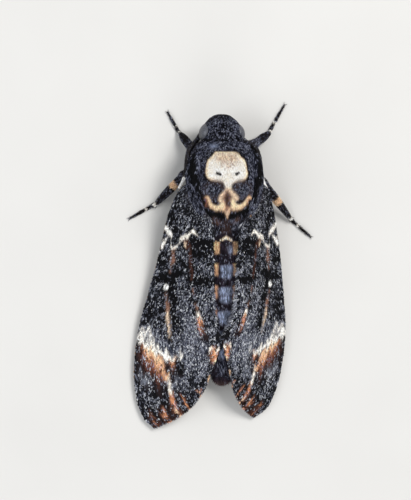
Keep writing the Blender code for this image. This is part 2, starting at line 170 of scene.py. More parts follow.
# How far the fur of the brow swells the head out over the fronts of the eyes, by y.
BROW = ((33.2, 0.0), (32.2, 0.25), (31.3, 0.5), (30.6, 0.6), (30.0, 0.3), (29.4, 0.05), (27.2, 0.0))
SEGMENT_ENDS = (5.2, 0.5, -4.2, -9.4, -13.8, -17.6, -21.0, -24.0)
SEGMENT_GROOVE = 0.22
# The half width of the stripe along the abdomen, by y, and its middle x.
BACK_STRIPE = ((8.0, 1.15), (2.0, 1.2), (-1.0, 1.4), (-26.0, 1.4))
BACK_STRIPE_X = 0.15

# The coat along the body: y, tuft length, tuft width, tufts for each square mm, rise of the tips.
BODY_COAT = (
    (33.2, 0.32, 0.10, 85, 0.16), (31.8, 0.42, 0.11, 85, 0.24), (30.0, 0.50, 0.13, 80, 0.30),
    (27.3, 0.55, 0.14, 75, 0.30), (26.2, 0.60, 0.14, 75, 0.30), (22.0, 0.55, 0.13, 85, 0.36),
    (14.0, 0.55, 0.13, 85, 0.38), (11.0, 1.50, 0.15, 60, 0.55), (8.6, 1.10, 0.15, 45, 0.40),
    (7.0, 0.60, 0.14, 42, 0.26), (4.0, 0.75, 0.15, 32, 0.32), (-20.0, 0.90, 0.16, 30, 0.36),
    (-23.0, 1.50, 0.17, 40, 0.60), (-26.0, 2.10, 0.16, 60, 0.75),
)
# The same four for the other parts, without the y.
PART_COAT = {
    "palp": (0.55, 0.12, 55, 0.24),
    "tegula": (1.15, 0.17, 50, 0.30),
    "leg": (0.55, 0.11, 38, 0.20),
}
THIGH_FUR = (2.4, 0.8, 0.0, 4.0)  # how much more of each of the four the thighs have
TEGULA_TAPER = (9, 0.35)  # how fast its coat grows from the flap's ends, and its share there
TAIL_BRUSH = -23.0  # behind this y the tail is a loose brush
FUR_STRAY = (0.38, 0.17)  # how far tufts turn at random, in the brush and elsewhere, in radians
HEAD_FUR_ENDS = 27.1  # where the fur's pieces meet, by y
THORAX_FUR_ENDS = 8
TUFT_THICKNESS = 0.45  # share of a tuft's width
TUFT_ROOT = 0.06  # how deep tufts and scales are rooted
SCALE_ROOT = 0.02
LOWEST = 0.01  # nothing of the coat lies under this height
PATCH_HALF = 0.0015  # half the size of a tuft's patch on the map
WING_MAP = (0.02, 0.96)  # start and size of a wing's window on the map
SKIN_SHADE = 0.6  # painted shade under the coat: colours of the skin and of the wings' membranes, as shares of the coat's
MEMBRANE_SHADE = 0.8

# Colours as display values from 0 to 255, each with the share of its tufts that are pale specks.
PALETTE = {
    "ink": (14, 14, 18, 0.30),
    "soot": (8, 8, 11, 0.06),
    "jet": (10, 10, 12, 0.02),
    "ash": (22, 23, 29, 0.50),
    "frost": (52, 55, 67, 0.64),
    "night": (12, 12, 19, 0.36),
    "dusk": (18, 20, 31, 0.50),
    "mist": (112, 116, 126, 0.60),
    "slate": (132, 142, 166, 0.24),
    "drab": (62, 58, 64, 0.34),
    "bone": (255, 248, 238, 0.0),
    "cream": (250, 240, 226, 0.0),
    "straw": (244, 218, 184, 0.0),
    "rose": (178, 136, 116, 0.10),
    "tan": (232, 192, 156, 0.0),
    "sand": (226, 200, 174, 0.04),
    "yellow": (252, 202, 160, 0.03),
    "ochre": (176, 136, 100, 0.06),
    "orange": (196, 136, 98, 0.28),
    "sienna": (132, 88, 66, 0.32),
    "russet": (106, 62, 48, 0.20),
    "clay": (136, 100, 84, 0.18),
    "rust": (70, 42, 34, 0.12),
    "umber": (36, 27, 29, 0.10),
    "brown": (58, 44, 42, 0.15),
    "plum": (36, 30, 38, 0.12),
    "haze": (44, 41, 47, 0.35),
    "peat": (26, 22, 24, 0.18),
    "white": (255, 253, 248, 0.0),
}
# Dim, usual and brightest specks, and the size of the patches that they come in, in millimetres.
FUR_SPECKS = ((58, 60, 75), (98, 101, 120), (158, 162, 177))
FUR_PATCH = 0.20
WING_SPECKS = ((64, 66, 78), (120, 123, 136), (214, 216, 220))
WING_PATCH = 0.24
SPECK_STRETCH = 0.6  # width of a patch on the wings as a share of its length
DARK_SHARE = 0.14  # share of the patches on the wings that are dark
DARK_TINT = 0.2  # share of their colour that these keep

UPPER_SIDE = 10.5  # lowest z of the body's upper side
# Where the marks of the thorax lie, where the head's start and where the abdomen's do, by y.
THORAX_MARKED = (6.3, 27.5)
HEAD_MARKED = 26.3
ABDOMEN_MARKED = 6.9
DARK_BELLY = 8  # the underside is dark ahead of this y

# The crown of the skull, and how much wider each of its rims is: colour, softness, extra half width.
CROWN = (
    (-1.85, 22.7, 1.7), (-2.3, 21.5, 2.15), (-2.75, 19.8, 1.95), (2.15, 19.85, 1.95), (1.75, 21.5, 2.15),
    (1.25, 22.7, 1.7), (-1.85, 22.7, 1.7),
)
CROWN_RIMS = (("jet", 0.4, 0.36), ("brown", 0.35, 0.18), ("straw", 0.2, 0.0), ("cream", 0.6, -0.35))
# Marks on the body, seen from above: colour, softness, then outlines of x, y and half width.
SKULL = (
    ("dusk", 1.2, ((-5.9, 25.4, 1.1), (-6.1, 21.5, 0.9), (-5.6, 17.2, 0.8)),
     ((5.6, 25.4, 1.0), (6.0, 21.5, 1.1), (5.5, 17.2, 0.8))),
    ("dusk", 1.0, ((-4.6, 25.9, 0.8), (0.0, 26.6, 0.8), (4.4, 25.9, 0.8))),
    ("slate", 0.9, ((-3.2, 25.6, 0.5), (-2.2, 25.7, 0.4))),
    *((colour, soft, [(x, y, half + more) for x, y, half in CROWN]) for colour, soft, more in CROWN_RIMS),
    ("dusk", 0.3, ((-0.3, 24.85, 0.4), (-0.3, 24.6, 0.25))),
    ("bone", 1.2, ((-1.6, 19.5, 1.7), (1.4, 19.6, 1.7))),
    ("sand", 1.4, ((-1.7, 23.1, 0.6), (1.3, 23.0, 0.6))),
    ("brown", 1.4, ((-3.4, 16.1, 2.0), (-2.6, 16.1, 1.95)), ((3.2, 16.2, 2.0), (2.5, 16.1, 1.95))),
    ("drab", 1.4, ((-3.4, 16.0, 1.6), (-2.9, 15.9, 1.5)), ((3.2, 16.1, 1.6), (2.8, 16.0, 1.4))),
    ("night", 1.0, ((-3.5, 16.4, 0.9), (-2.5, 16.0, 0.7)), ((3.3, 16.4, 0.9), (2.6, 16.0, 0.7))),
    ("cream", 0.6, ((-0.25, 18.5, 1.2), (-0.25, 17.1, 0.8), (-0.3, 16.1, 0.6))),
    ("sand", 0.6, ((-0.5, 16.0, 0.6), (-1.5, 14.9, 0.65), (-1.9, 14.0, 0.5)),
     ((0.0, 16.0, 0.6), (1.0, 15.1, 0.6), (1.7, 14.4, 0.5))),
    ("jet", 0.4, ((-4.4, 12.3, 0.4), (-3.3, 11.5, 0.6), (-1.1, 11.1, 0.7), (0.7, 11.1, 0.7)),
     ((4.5, 12.7, 0.4), (3.4, 11.8, 0.6), (1.0, 11.1, 0.6))),
    ("brown", 0.4, ((-4.75, 14.7, 0.55), (-3.8, 13.1, 0.65), (-2.4, 12.5, 0.65), (0.0, 12.3, 0.85)),
     ((4.75, 14.9, 0.55), (3.8, 13.5, 0.6), (2.4, 12.8, 0.6), (0.0, 12.3, 0.85))),
    ("tan", 0.35, ((-4.4, 14.6, 0.45), (-3.95, 13.9, 0.38), (-3.3, 12.95, 0.46), (-2.5, 12.5, 0.5),
     (-1.2, 12.6, 0.7)),
     ((4.4, 14.7, 0.5), (3.85, 13.95, 0.42), (3.3, 13.3, 0.45), (2.5, 12.75, 0.5), (1.2, 12.7, 0.7))),
    ("straw", 0.6, ((-4.3, 14.5, 0.1), (-3.2, 12.95, 0.25), (-2.3, 12.6, 0.35), (-1.2, 13.0, 0.75),
     (-0.95, 14.2, 0.45)),
     ((4.3, 14.6, 0.1), (3.2, 13.3, 0.25), (2.2, 12.85, 0.35), (1.1, 13.1, 0.75), (0.6, 14.3, 0.45))),
    ("tan", 0.4, ((-0.2, 12.1, 0.7), (-0.15, 11.6, 0.5), (-0.1, 10.75, 0.25))),
    ("sand", 0.5, ((-0.2, 12.1, 0.35), (-0.1, 11.3, 0.25))),
    ("clay", 0.8, ((-0.45, 15.9, 0.2), (-0.45, 14.6, 0.85), (-0.4, 13.5, 0.45), (-0.3, 12.1, 0.2))),
    ("brown", 0.7, ((-0.45, 15.4, 0.1), (-0.45, 14.6, 0.35), (-0.4, 13.3, 0.12))),
    ("umber", 0.5, ((-3.0, 13.85, 0.4), (-2.4, 13.6, 0.3)), ((1.9, 13.7, 0.3), (2.6, 13.95, 0.4))),
    ("sienna", 0.5, ((-4.9, 14.0, 0.65), (-4.75, 13.3, 0.65))),
    ("jet", 0.3, ((-5.15, 14.0, 0.42), (-5.0, 13.3, 0.46))),
    ("tan", 0.3, ((4.7, 14.5, 0.6), (4.75, 13.7, 0.6))),
    ("sienna", 0.3, ((4.75, 14.0, 0.48), (4.75, 13.5, 0.52))),
    ("jet", 0.25, ((4.8, 13.95, 0.38), (4.8, 13.4, 0.45))),
    ("jet", 0.2, ((-2.55, 19.78, 0.2), (-1.9, 19.5, 0.29)), ((1.55, 19.6, 0.29), (2.1, 19.85, 0.2))),
    ("jet", 0.6, ((-6.3, 24.8, 0.3), (-7.1, 23.0, 0.4), (-7.4, 20.6, 0.75), (-7.1, 18.6, 0.7)),
     ((-7.1, 18.6, 0.7), (-6.2, 16.8, 0.5), (-5.5, 14.6, 0.4)),
     ((6.4, 24.6, 0.3), (7.0, 22.8, 0.5), (7.2, 20.6, 0.6), (6.9, 18.4, 0.55)),
     ((6.9, 18.4, 0.55), (6.4, 16.7, 0.45), (5.9, 14.8, 0.35))),
    ("clay", 1.2, ((-2.6, 10.1, 0.3), (-1.5, 9.4, 0.3)), ((2.3, 10.2, 0.3), (1.5, 9.6, 0.2))),
    ("drab", 0.8, ((-3.2, 9.8, 0.4), (-2.5, 8.2, 0.4), (-2.2, 6.6, 0.3)),
     ((3.2, 9.8, 0.4), (2.5, 8.2, 0.4), (2.3, 6.6, 0.3))),
    ("brown", 0.8, ((0.0, 9.6, 0.9), (0.1, 7.6, 1.3))),
)
# Where the top of the skull is stippled brown.
STIPPLE = ((-1.4, 23.0, 0.8), (-0.4, 22.2, 1.2), (1.2, 22.8, 0.8))
HEAD_MARKS = (
    ("jet", 0.5, ((-0.35, 32.2, 0.1), (-0.3, 29.8, 0.22), (-0.2, 28.6, 0.1))),
    ("jet", 0.8, ((-5.4, 26.6, 0.35), (-3.6, 27.15, 0.3), (3.6, 27.15, 0.3), (5.4, 26.6, 0.35))),
    ("dusk", 1.2, ((-1.7, 31.4, 0.7), (-2.6, 30.2, 0.6))),
    ("dusk", 1.4, ((1.6, 31.3, 1.0), (2.5, 30.0, 0.7))),
    ("brown", 0.8, ((2.2, 32.2, 0.3), (3.3, 30.9, 0.3))),
)
ABDOMEN_MARKS = (
    ("drab", 1.0, ((0.9, 4.2, 0.7), (1.0, 3.2, 0.6))),
    ("slate", 0.9, ((1.0, 3.8, 0.3), (1.1, 3.1, 0.4))),
    ("slate", 0.6, ((-0.4, -0.7, 0.8), (0.9, -0.7, 0.9)), ((-0.4, -2.1, 0.6), (0.9, -2.1, 0.7)),
     ((-0.5, -5.6, 0.9), (0.8, -5.6, 1.0)), ((-0.4, -7.4, 0.7), (0.7, -7.4, 0.8)),
     ((-0.5, -10.8, 0.9), (0.7, -10.8, 1.0)), ((-0.4, -12.2, 0.6), (0.6, -12.2, 0.7))),
    ("slate", 0.7, ((-0.3, -15.0, 0.7), (0.5, -15.0, 0.8))),
    ("slate", 0.9, ((0.2, -18.8, 0.7), (0.2, -20.0, 0.7))),
    ("dusk", 0.9, ((0.3, -22.0, 0.8), (0.5, -23.5, 0.6))),
    ("straw", 0.25, ((-1.0, 5.5, 0.2), (0.2, 6.1, 0.32), (1.4, 5.5, 0.2))),
)

# Marks on a forewing as colour, softness, then outlines with rows of share from root to tip, share
# from costa to dorsum, and half width in mm. Wide soft grounds come first.
WING_MARKS = (
    ("drab", 3.0, ((0.0, 0.2, 2.6), (0.06, 0.35, 2.2), (0.05, 0.9, 1.6))),
    ("ink", 2.5, ((0.12, 0.05, 1.5), (0.12, 0.9, 1.5))),
    ("ash", 2.5, ((0.38, 0.06, 1.2), (0.50, 0.12, 1.5), (0.60, 0.16, 1.2)),
     ((0.36, 0.50, 0.8), (0.47, 0.60, 1.3), (0.58, 0.62, 1.2))),
    ("ash", 2.0, ((0.33, 0.78, 0.9), (0.38, 0.90, 1.0))),
    ("ash", 2.5, ((0.48, 0.90, 1.2), (0.58, 0.92, 1.2), (0.66, 0.94, 1.0))),
    ("ash", 3.0, ((0.60, 0.58, 1.5), (0.72, 0.66, 1.8), (0.84, 0.62, 1.4))),
    ("frost", 2.4, ((0.61, 0.66, 0.9), (0.68, 0.70, 1.2), (0.74, 0.60, 0.8))),
    ("frost", 2.6, ((0.70, 0.83, 1.2), (0.80, 0.78, 1.5), (0.90, 0.80, 1.2))),
    ("frost", 2.2, ((0.72, 0.64, 0.9), (0.82, 0.58, 0.9), (0.89, 0.52, 0.6))),
    ("ash", 2.5, ((0.86, 0.06, 0.7), (0.90, 0.14, 0.5)), ((0.90, 0.58, 0.9), (0.93, 0.66, 0.9))),
    ("soot", 0.9, ((0.165, 0.06, 0.7), (0.19, 0.14, 0.9), (0.215, 0.21, 0.6))),
    ("soot", 1.2, ((0.235, 0.64, 1.1), (0.23, 0.83, 1.3), (0.222, 1.0, 1.1)),
     ((0.285, 0.64, 1.1), (0.29, 0.83, 1.1), (0.256, 1.0, 1.0))),
    ("soot", 1.0, ((0.42, 0.64, 0.7), (0.43, 0.82, 1.2), (0.43, 1.0, 1.2)),
     ((0.425, 0.05, 0.6), (0.42, 0.21, 1.1), (0.404, 0.35, 1.0), (0.385, 0.5, 0.8))),
    ("soot", 1.4, ((0.34, 0.44, 0.6), (0.36, 0.58, 0.7))),
    ("soot", 1.2, ((0.35, 0.0, 0.7), (0.36, 0.13, 0.5)),
     ((0.45, 0.36, 0.9), (0.52, 0.45, 0.8), (0.64, 0.52, 0.6)), ((0.52, 0.08, 0.6), (0.60, 0.20, 0.5))),
    ("rust", 0.6, ((0.24, 0.47, 0.7), (0.268, 0.56, 0.8)),
     ((0.268, 0.59, 0.5), (0.305, 0.61, 0.5), (0.357, 0.65, 0.45), (0.42, 0.69, 0.35))),
    ("bone", 0.5, ((0.224, 0.0, 0.5), (0.235, 0.094, 0.75), (0.245, 0.165, 0.5)),
     ((0.264, 0.09, 0.35), (0.281, 0.05, 0.7), (0.30, 0.03, 0.5)),
     ((0.246, 0.165, 0.2), (0.27, 0.182, 0.16), (0.297, 0.215, 0.24)),
     ((0.297, 0.22, 0.36), (0.297, 0.26, 0.45), (0.283, 0.318, 0.4)),
     ((0.283, 0.318, 0.2), (0.27, 0.359, 0.12), (0.245, 0.385, 0.2))),
    ("cream", 0.4, ((0.242, 0.40, 0.45), (0.231, 0.45, 0.62), (0.226, 0.51, 0.5)),
     ((0.226, 0.51, 0.26), (0.204, 0.556, 0.34), (0.193, 0.60, 0.42)),
     ((0.193, 0.60, 0.42), (0.196, 0.66, 0.36), (0.206, 0.73, 0.2))),
    ("sand", 0.5, ((0.262, 0.485, 0.42), (0.27, 0.495, 0.42))),
    ("clay", 1.0, ((0.312, 0.271, 0.6), (0.341, 0.285, 0.85), (0.362, 0.276, 0.5))),
    ("clay", 0.8, ((0.38, 0.28, 0.3), (0.39, 0.285, 0.25))),
    ("soot", 0.8, ((0.455, 0.258, 0.85), (0.464, 0.276, 0.85))),
    ("white", 0.12, ((0.459, 0.262, 0.62), (0.461, 0.274, 0.62))),
    ("clay", 0.7, ((0.485, 0.29, 0.2), (0.51, 0.324, 0.45), (0.555, 0.37, 0.5))),
    ("sand", 0.7, ((0.57, 0.38, 0.3), (0.598, 0.391, 0.45), (0.643, 0.421, 0.45), (0.68, 0.435, 0.25))),
    ("clay", 0.6, ((0.47, 0.72, 0.3), (0.50, 0.74, 0.3)), ((0.54, 0.77, 0.3), (0.58, 0.80, 0.3))),
    ("umber", 0.7, ((0.61, 0.82, 0.7), (0.67, 0.84, 0.95), (0.73, 0.85, 0.8))),
    ("sienna", 0.6, ((0.64, 0.825, 0.6), (0.68, 0.832, 0.55), (0.70, 0.835, 0.3))),
    ("cream", 0.5, ((0.598, 0.809, 0.4), (0.622, 0.815, 0.55))),
    ("orange", 0.6, ((0.632, 0.82, 0.5), (0.662, 0.829, 0.4))),
    ("umber", 1.2, ((0.73, 0.05, 0.7), (0.77, 0.09, 1.3), (0.815, 0.17, 1.5), (0.855, 0.27, 1.4),
     (0.88, 0.32, 0.7)), ((0.79, 0.42, 1.5), (0.84, 0.47, 1.2), (0.84, 0.52, 1.0))),
    ("russet", 1.4, ((0.70, 0.10, 0.9), (0.75, 0.14, 1.1), (0.79, 0.23, 1.2), (0.83, 0.31, 1.0),
     (0.86, 0.36, 0.5))),
    ("sienna", 1.2, ((0.70, 0.12, 0.9), (0.74, 0.18, 0.9), (0.78, 0.27, 0.9), (0.82, 0.33, 0.7))),
    ("sienna", 0.8, ((0.76, 0.43, 0.6), (0.804, 0.45, 0.75), (0.835, 0.46, 0.35))),
    ("orange", 1.2, ((0.69, 0.13, 0.9), (0.73, 0.22, 0.65), (0.775, 0.30, 0.6), (0.83, 0.35, 0.4),
     (0.86, 0.375, 0.2))),
    ("orange", 0.6, ((0.765, 0.44, 0.4), (0.80, 0.455, 0.3))),
    ("tan", 1.0, ((0.69, 0.15, 0.7), (0.74, 0.245, 0.45), (0.78, 0.307, 0.4), (0.84, 0.358, 0.25))),
    ("frost", 1.2, ((0.64, 0.0, 1.0), (0.636, 0.12, 1.2), (0.65, 0.22, 0.9), (0.69, 0.33, 0.9))),
    ("frost", 1.0, ((0.69, 0.33, 0.8), (0.72, 0.43, 0.9), (0.75, 0.50, 0.6))),
    ("bone", 0.8, ((0.655, 0.0, 0.8), (0.665, 0.04, 0.5)),
     ((0.637, 0.04, 0.45), (0.633, 0.14, 0.5), (0.645, 0.19, 0.4)),
     ((0.660, 0.0, 0.7), (0.664, 0.09, 0.7), (0.672, 0.17, 0.85), (0.705, 0.25, 0.5))),
    ("bone", 0.7, ((0.71, 0.25, 0.6), (0.735, 0.335, 0.7), (0.755, 0.43, 0.6), (0.775, 0.456, 0.3))),
    ("bone", 0.6, ((0.745, 0.55, 0.25), (0.772, 0.553, 0.42))),
    ("straw", 0.7, ((0.835, 0.374, 0.2), (0.86, 0.378, 0.3))),
    ("soot", 1.0, ((0.81, 0.53, 0.8), (0.84, 0.53, 0.6))),
    ("mist", 1.0, ((0.795, 0.082, 0.4), (0.817, 0.118, 0.55), (0.834, 0.159, 0.4)),
     ((0.862, 0.36, 0.4), (0.877, 0.40, 0.6), (0.872, 0.48, 0.5))),
    ("rust", 1.0, ((0.90, 0.38, 0.3), (0.95, 0.375, 0.9), (1.0, 0.36, 1.1))),
    ("cream", 0.6, ((0.87, 0.385, 0.5), (0.905, 0.383, 0.5))),
    ("sienna", 0.7, ((0.915, 0.382, 0.5), (0.95, 0.38, 0.5), (0.99, 0.362, 0.35))),
    ("orange", 0.5, ((0.91, 0.382, 0.35), (0.943, 0.382, 0.24), (0.974, 0.368, 0.16))),
    ("straw", 0.4, ((0.965, 0.372, 0.05), (1.0, 0.352, 0.14))),
    ("rust", 1.0, ((0.94, 0.10, 0.3), (1.0, 0.06, 1.0))),
    ("orange", 0.4, ((0.955, 0.097, 0.05), (1.0, 0.044, 0.12))),
    ("rust", 1.0, ((0.93, 0.25, 0.3), (1.0, 0.19, 1.0))),
    ("sienna", 0.5, ((0.935, 0.25, 0.1), (0.97, 0.226, 0.25), (1.0, 0.185, 0.3))),
    ("orange", 0.3, ((0.95, 0.24, 0.06), (1.0, 0.185, 0.14))),
    ("rust", 0.8, ((0.95, 0.51, 0.3), (1.0, 0.51, 0.6))),
    ("orange", 0.3, ((0.955, 0.506, 0.05), (0.978, 0.512, 0.1), (1.0, 0.509, 0.14))),
    ("sienna", 0.5, ((0.965, 0.71, 0.3), (0.993, 0.729, 0.4), (0.995, 0.78, 0.3))),
    ("tan", 0.4, ((0.975, 0.715, 0.08), (1.0, 0.735, 0.14))),
    ("umber", 0.8, ((0.80, 0.90, 0.8), (0.847, 0.95, 1.3), (0.91, 0.99, 0.8))),
    ("sienna", 0.5, ((0.80, 0.905, 0.5), (0.845, 0.95, 0.95), (0.895, 0.985, 0.5))),
    ("orange", 0.6, ((0.815, 0.92, 0.25), (0.85, 0.955, 0.35), (0.885, 0.985, 0.25))),
    ("cream", 0.5, ((0.795, 0.885, 0.34), (0.812, 0.90, 0.34)), ((0.825, 0.975, 0.3), (0.845, 0.99, 0.4))),
    ("straw", 0.4, ((0.89, 0.98, 0.22), (0.905, 0.995, 0.3))),
    ("tan", 0.5, ((0.975, 0.91, 0.2), (1.0, 0.95, 0.35))),
)
# Painted light: paler patches on the right wing only, where it is lit more brightly than the left.
RIGHT_WING_LIGHT_MARKS = (
    ("mist", 2.4, ((0.73, 0.62, 0.4), (0.80, 0.58, 0.8), (0.88, 0.52, 0.5))),
    ("mist", 1.6, ((0.655, 0.40, 0.3), (0.70, 0.50, 0.5), (0.73, 0.60, 0.4))),
)
# How much the hairs of the inner edge turn outwards, and their length.
INNER_FRINGE = {"left": (0.5, 0.9), "right": (1.3, 1.3)}
RIGHT_WING_LAG = 0.06  # how much further from the costa the marks on the right wing lie
STREAK_REACH = 1.7  # how far the marks of the outer half run out lengthwise, in millimetres
RAGGED = {"thorax": 0.12, "wing": 0.35}  # how far the marks' edges wander, in millimetres
# Dark bands on the undersides and on the hindwings, as shares from root to tip.
UNDER_BANDS = ((0.6, 0.66), (0.8, 1.0))
HINDWING_BANDS = ((0.62, 0.70), (0.84, 0.96))

# Scales of a wing's upper side, underside and hindwing: rows and scales in a row, then the usual
# length, width and rise.
SCALE_ROWS = {"upper": (212, 190), "under": (110, 90), "hind": (90, 84)}
SCALE_SIZES = {"upper": (0.62, 0.24, 0.14), "under": (0.95, 0.42, 0.10), "hind": (0.85, 0.36, 0.10)}
SCALE_REACH = (0.38, 0.62)  # how far from its root a scale's middle and tip take their colours, in mm
FRINGE_COUNT = 2600
OUTER_FRINGE = (0.6, 1.1)  # shortest and longest hair scale of the outer edge

ANTENNA_SIDES = 18
ANTENNA_JOINTS = 46
ANTENNA_WHITE = 0.84  # share of its length where a feeler turns white
ANTENNA_SCALE = (0.42, 0.17, 0.03)  # length, width and thickness
CLAW = (0.75, 0.09, 0.3)  # length, radius and droop
SPUR = (1.3, 0.12, 0.1)

# The camera looks down from above the moth, turned to its left by this much.
CAMERA_TURN = math.radians(10)
CAMERA_DISTANCE = 300.0
CAMERA_AIM = (-2.2, 3.4, 0.0)
FRAME_HEIGHT = 113.0  # mm of floor from the picture's bottom to its top
# Lights as name, place and size in metres, power in watts and colour.
LIGHTS = (
    ("key", (0.28, 0.30, 0.65), 0.35, 4.8, (1.0, 0.99, 0.97)),
    ("fill", (-0.55, -0.05, 0.45), 0.5, 2.2, (0.94, 0.97, 1.0)),
    ("back", (0.0, -0.6, 0.35), 0.4, 1.4, (1.0, 1.0, 1.0)),
)
WORLD_COLOUR = (0.93, 0.96, 1.0, 1)
WORLD_LIGHT = 0.42

rng = np.random.default_rng(SEED)


def frame_shift():
    """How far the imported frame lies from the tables' frame, in millimetres."""
    low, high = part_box("eye_left")
    middle = np.array((low + high) / 2) / MM
    return middle - np.array((HEAD_MIDDLE - EYE_CENTRE[0], *EYE_CENTRE[1:]))


SHIFT = frame_shift()


def placed(points):
    return (np.asarray(points) + SHIFT) * MM


def unit(vectors):
    return vectors / np.maximum(np.linalg.norm(vectors, axis=-1, keepdims=True), 1e-9)


def smooth(keys, at):
    """The smooth curve through the rows of keys, read at shares from 0 to 1 of the way along them."""
    keys = np.array(keys, float)
    place = np.clip(np.asarray(at, float), 0, 1) * (len(keys) - 1)
    first = np.minimum(place.astype(int), len(keys) - 2)
    t = (place - first)[:, None]
    slopes = np.gradient(keys, axis=0)
    a, b = keys[first], keys[first + 1]
    leaving, arriving = slopes[first], slopes[first + 1]
    between = (1 + 2 * t) * (1 - t) ** 2 * a + t**2 * (3 - 2 * t) * b
    return between + t * (1 - t) ** 2 * leaving - t**2 * (1 - t) * arriving


def by_length(keys, at, samples=400):
    """The rows of the smooth curve through keys at shares of its length. They start with x, y, z."""
    rows = smooth(keys, np.linspace(0, 1, samples))
    steps = np.linalg.norm(np.diff(rows[:, :3], axis=0), axis=1)
    run = np.concatenate([[0], np.cumsum(steps)])
    return np.stack([np.interp(np.asarray(at) * run[-1], run, column) for column in rows.T], axis=-1)


def read(table, at, column=1):
    """A table's column at values of its first column, which may fall as well as rise."""
    rows = np.array(sorted(table), float)
    return np.interp(at, rows[:, 0], rows[:, column])


def body_rings(count=250, sides=96):
    """Cross-sections of the skin of the whole body, from the front of the head to the tail."""
    rows = np.concatenate([smooth(t, np.linspace(0, 1, 60)) for t in (HEAD, COLLAR, THORAX, ABDOMEN)])
    rows = rows[np.argsort(rows[:, 0])]
    y = np.linspace(*BODY_ENDS, count)
    middle_x, half_width, top, bottom = (np.interp(y, rows[:, 0], rows[:, k]) for k in range(1, 5))
    half_width = half_width + read(BROW, y) * (y > BROW[-1][0])
    depth = read(BODY_DEPTH, y)
    for end in SEGMENT_ENDS:
        depth += SEGMENT_GROOVE * np.exp(-(((y - end) / 0.45) ** 2))
    turn = np.linspace(0, 2 * math.pi, sides, endpoint=False)
    across = np.sign(np.sin(turn)) * np.abs(np.sin(turn)) ** (2 / ROUNDNESS)
    upward = np.sign(np.cos(turn)) * np.abs(np.cos(turn)) ** (2 / ROUNDNESS)
    x = middle_x[:, None] + np.outer(np.maximum(half_width - depth, 0.15), across)
    z = ((top + bottom) / 2)[:, None] + np.outer(np.maximum((top - bottom) / 2 - depth, 0.15), upward)
    return np.stack([x, np.broadcast_to(y[:, None], x.shape), z], axis=-1)


def tube_rings(rows, sides, count, up=(0.0, 0.0, 1.0), grow=0.0):
    """Round rings along a path, or flat ones where its rows end with a half depth, towards up."""
    rows = by_length(rows, np.linspace(0, 1, count))
    middle, breadth, depth = rows[:, :3], rows[:, 3] + grow, rows[:, -1] + grow
    along = unit(np.gradient(middle, axis=0))
    side = unit(np.cross(along, np.array(up, float)))
    rise = np.cross(side, along)
    turn = np.linspace(0, 2 * math.pi, sides, endpoint=False)
    sideways = np.outer(breadth, np.sin(turn))[..., None] * side[:, None]
    upwards = np.outer(depth, np.cos(turn))[..., None] * rise[:, None]
    out = sideways + upwards
    start = middle[0] - along[0] * breadth[0] * 0.6 + out[0] * 0.55
    end = middle[-1] + along[-1] * breadth[-1] * 0.6 + out[-1] * 0.55
    return np.concatenate([start[None], middle[:, None] + out, end[None]])


def leg_path(joints, radii=LEG_RADII):
    """Rows of x, y, z and radius along a leg, with its foot level on the floor."""
    joints, stops = np.array(joints), np.array(radii)
    path = np.stack([np.interp(stops[:, 0], range(4), column) for column in joints.T], axis=1)
    path[stops[:, 0] >= FOOT_STARTS, 2] = joints[-1, 2]
    return np.column_stack([path, stops[:, 1]])


def wing_points(side, u, v, drop=0.0):
    """Points of a wing's middle surface. u runs from root to tip and v from costa to dorsum."""
    shape, u, v = u.shape, u.ravel(), v.reshape(-1, 1)
    ahead, behind = by_length(COSTA[side], u), by_length(DORSUM[side], u)
    chord = behind - ahead
    step = 0.01
    further = by_length(COSTA[side], u + step) + by_length(DORSUM[side], u + step)
    nearer = by_length(COSTA[side], u - step) + by_length(DORSUM[side], u - step)
    normal = unit(np.cross(further - nearer, chord))
    normal *= np.sign(normal[:, 2:])
    rearward = unit(np.cross(chord, normal))
    rearward *= -np.sign(rearward[:, 1:2])
    swell = 4 * v * (1 - v)
    rise = smooth(np.reshape(WING_ARCH, (-1, 1)), u) * swell * (1 + WING_LEAN * (v - 0.4)) - drop
    reach = TERMEN_BOW[side] * u[:, None] ** 4 * swell
    return (ahead + chord * v + normal * rise + rearward * reach).reshape(*shape, 3)


def vein_relief(u, v):
    """Height of the veins over the membrane."""
    height = np.zeros_like(u)
    for start, end in VEINS:
        away = (v - (start + (end - start) * u)) * WING_SIZE[1]
        height = np.maximum(height, np.exp(-((away / VEIN_WIDTH) ** 2)))
    return height * VEIN_HEIGHT


def mesh_from(name, points, triangles, colours, material, uv=None, round_off=True):
    """A mesh object from triangles, with a colour for each point and a map for each corner."""
    mesh = bpy.data.meshes.new(name)
    mesh.vertices.add(len(points))
    mesh.vertices.foreach_set("co", placed(points).ravel())
    mesh.loops.add(triangles.size)
    mesh.loops.foreach_set("vertex_index", triangles.ravel())
    mesh.polygons.add(len(triangles))
    mesh.polygons.foreach_set("loop_start", np.arange(len(triangles)) * 3)
    mesh.update(calc_edges=True)
    mesh.polygons.foreach_set("use_smooth", np.full(len(triangles), round_off))
    painted = mesh.color_attributes.new("Coat", "FLOAT_COLOR", "POINT")
    rgba = np.column_stack([colours, np.ones(len(points))])
    painted.data.foreach_set("color", rgba.astype(np.float32).ravel())
    if uv is not None:
        layer = mesh.uv_layers.new(name="OFBake")
        layer.data.foreach_set("uv", uv[triangles.ravel()].astype(np.float32).ravel())
    mesh.materials.append(material)
    made = bpy.data.objects.new(name, mesh)
    bpy.context.scene.collection.objects.link(made)
    return made


def grid_triangles(rows, columns, closed=False):
    """Triangles of a grid of points, joined round from its last column to its first if closed."""
    i, j = np.meshgrid(np.arange(rows - 1), np.arange(columns if closed else columns - 1), indexing="ij")
    a, b = i * columns + j, i * columns + (j + 1) % columns
    quads = np.stack([a, b, b + columns, a + columns], axis=-1).reshape(-1, 4)
    return np.concatenate([quads[:, [0, 1, 2]], quads[:, [0, 2, 3]]])


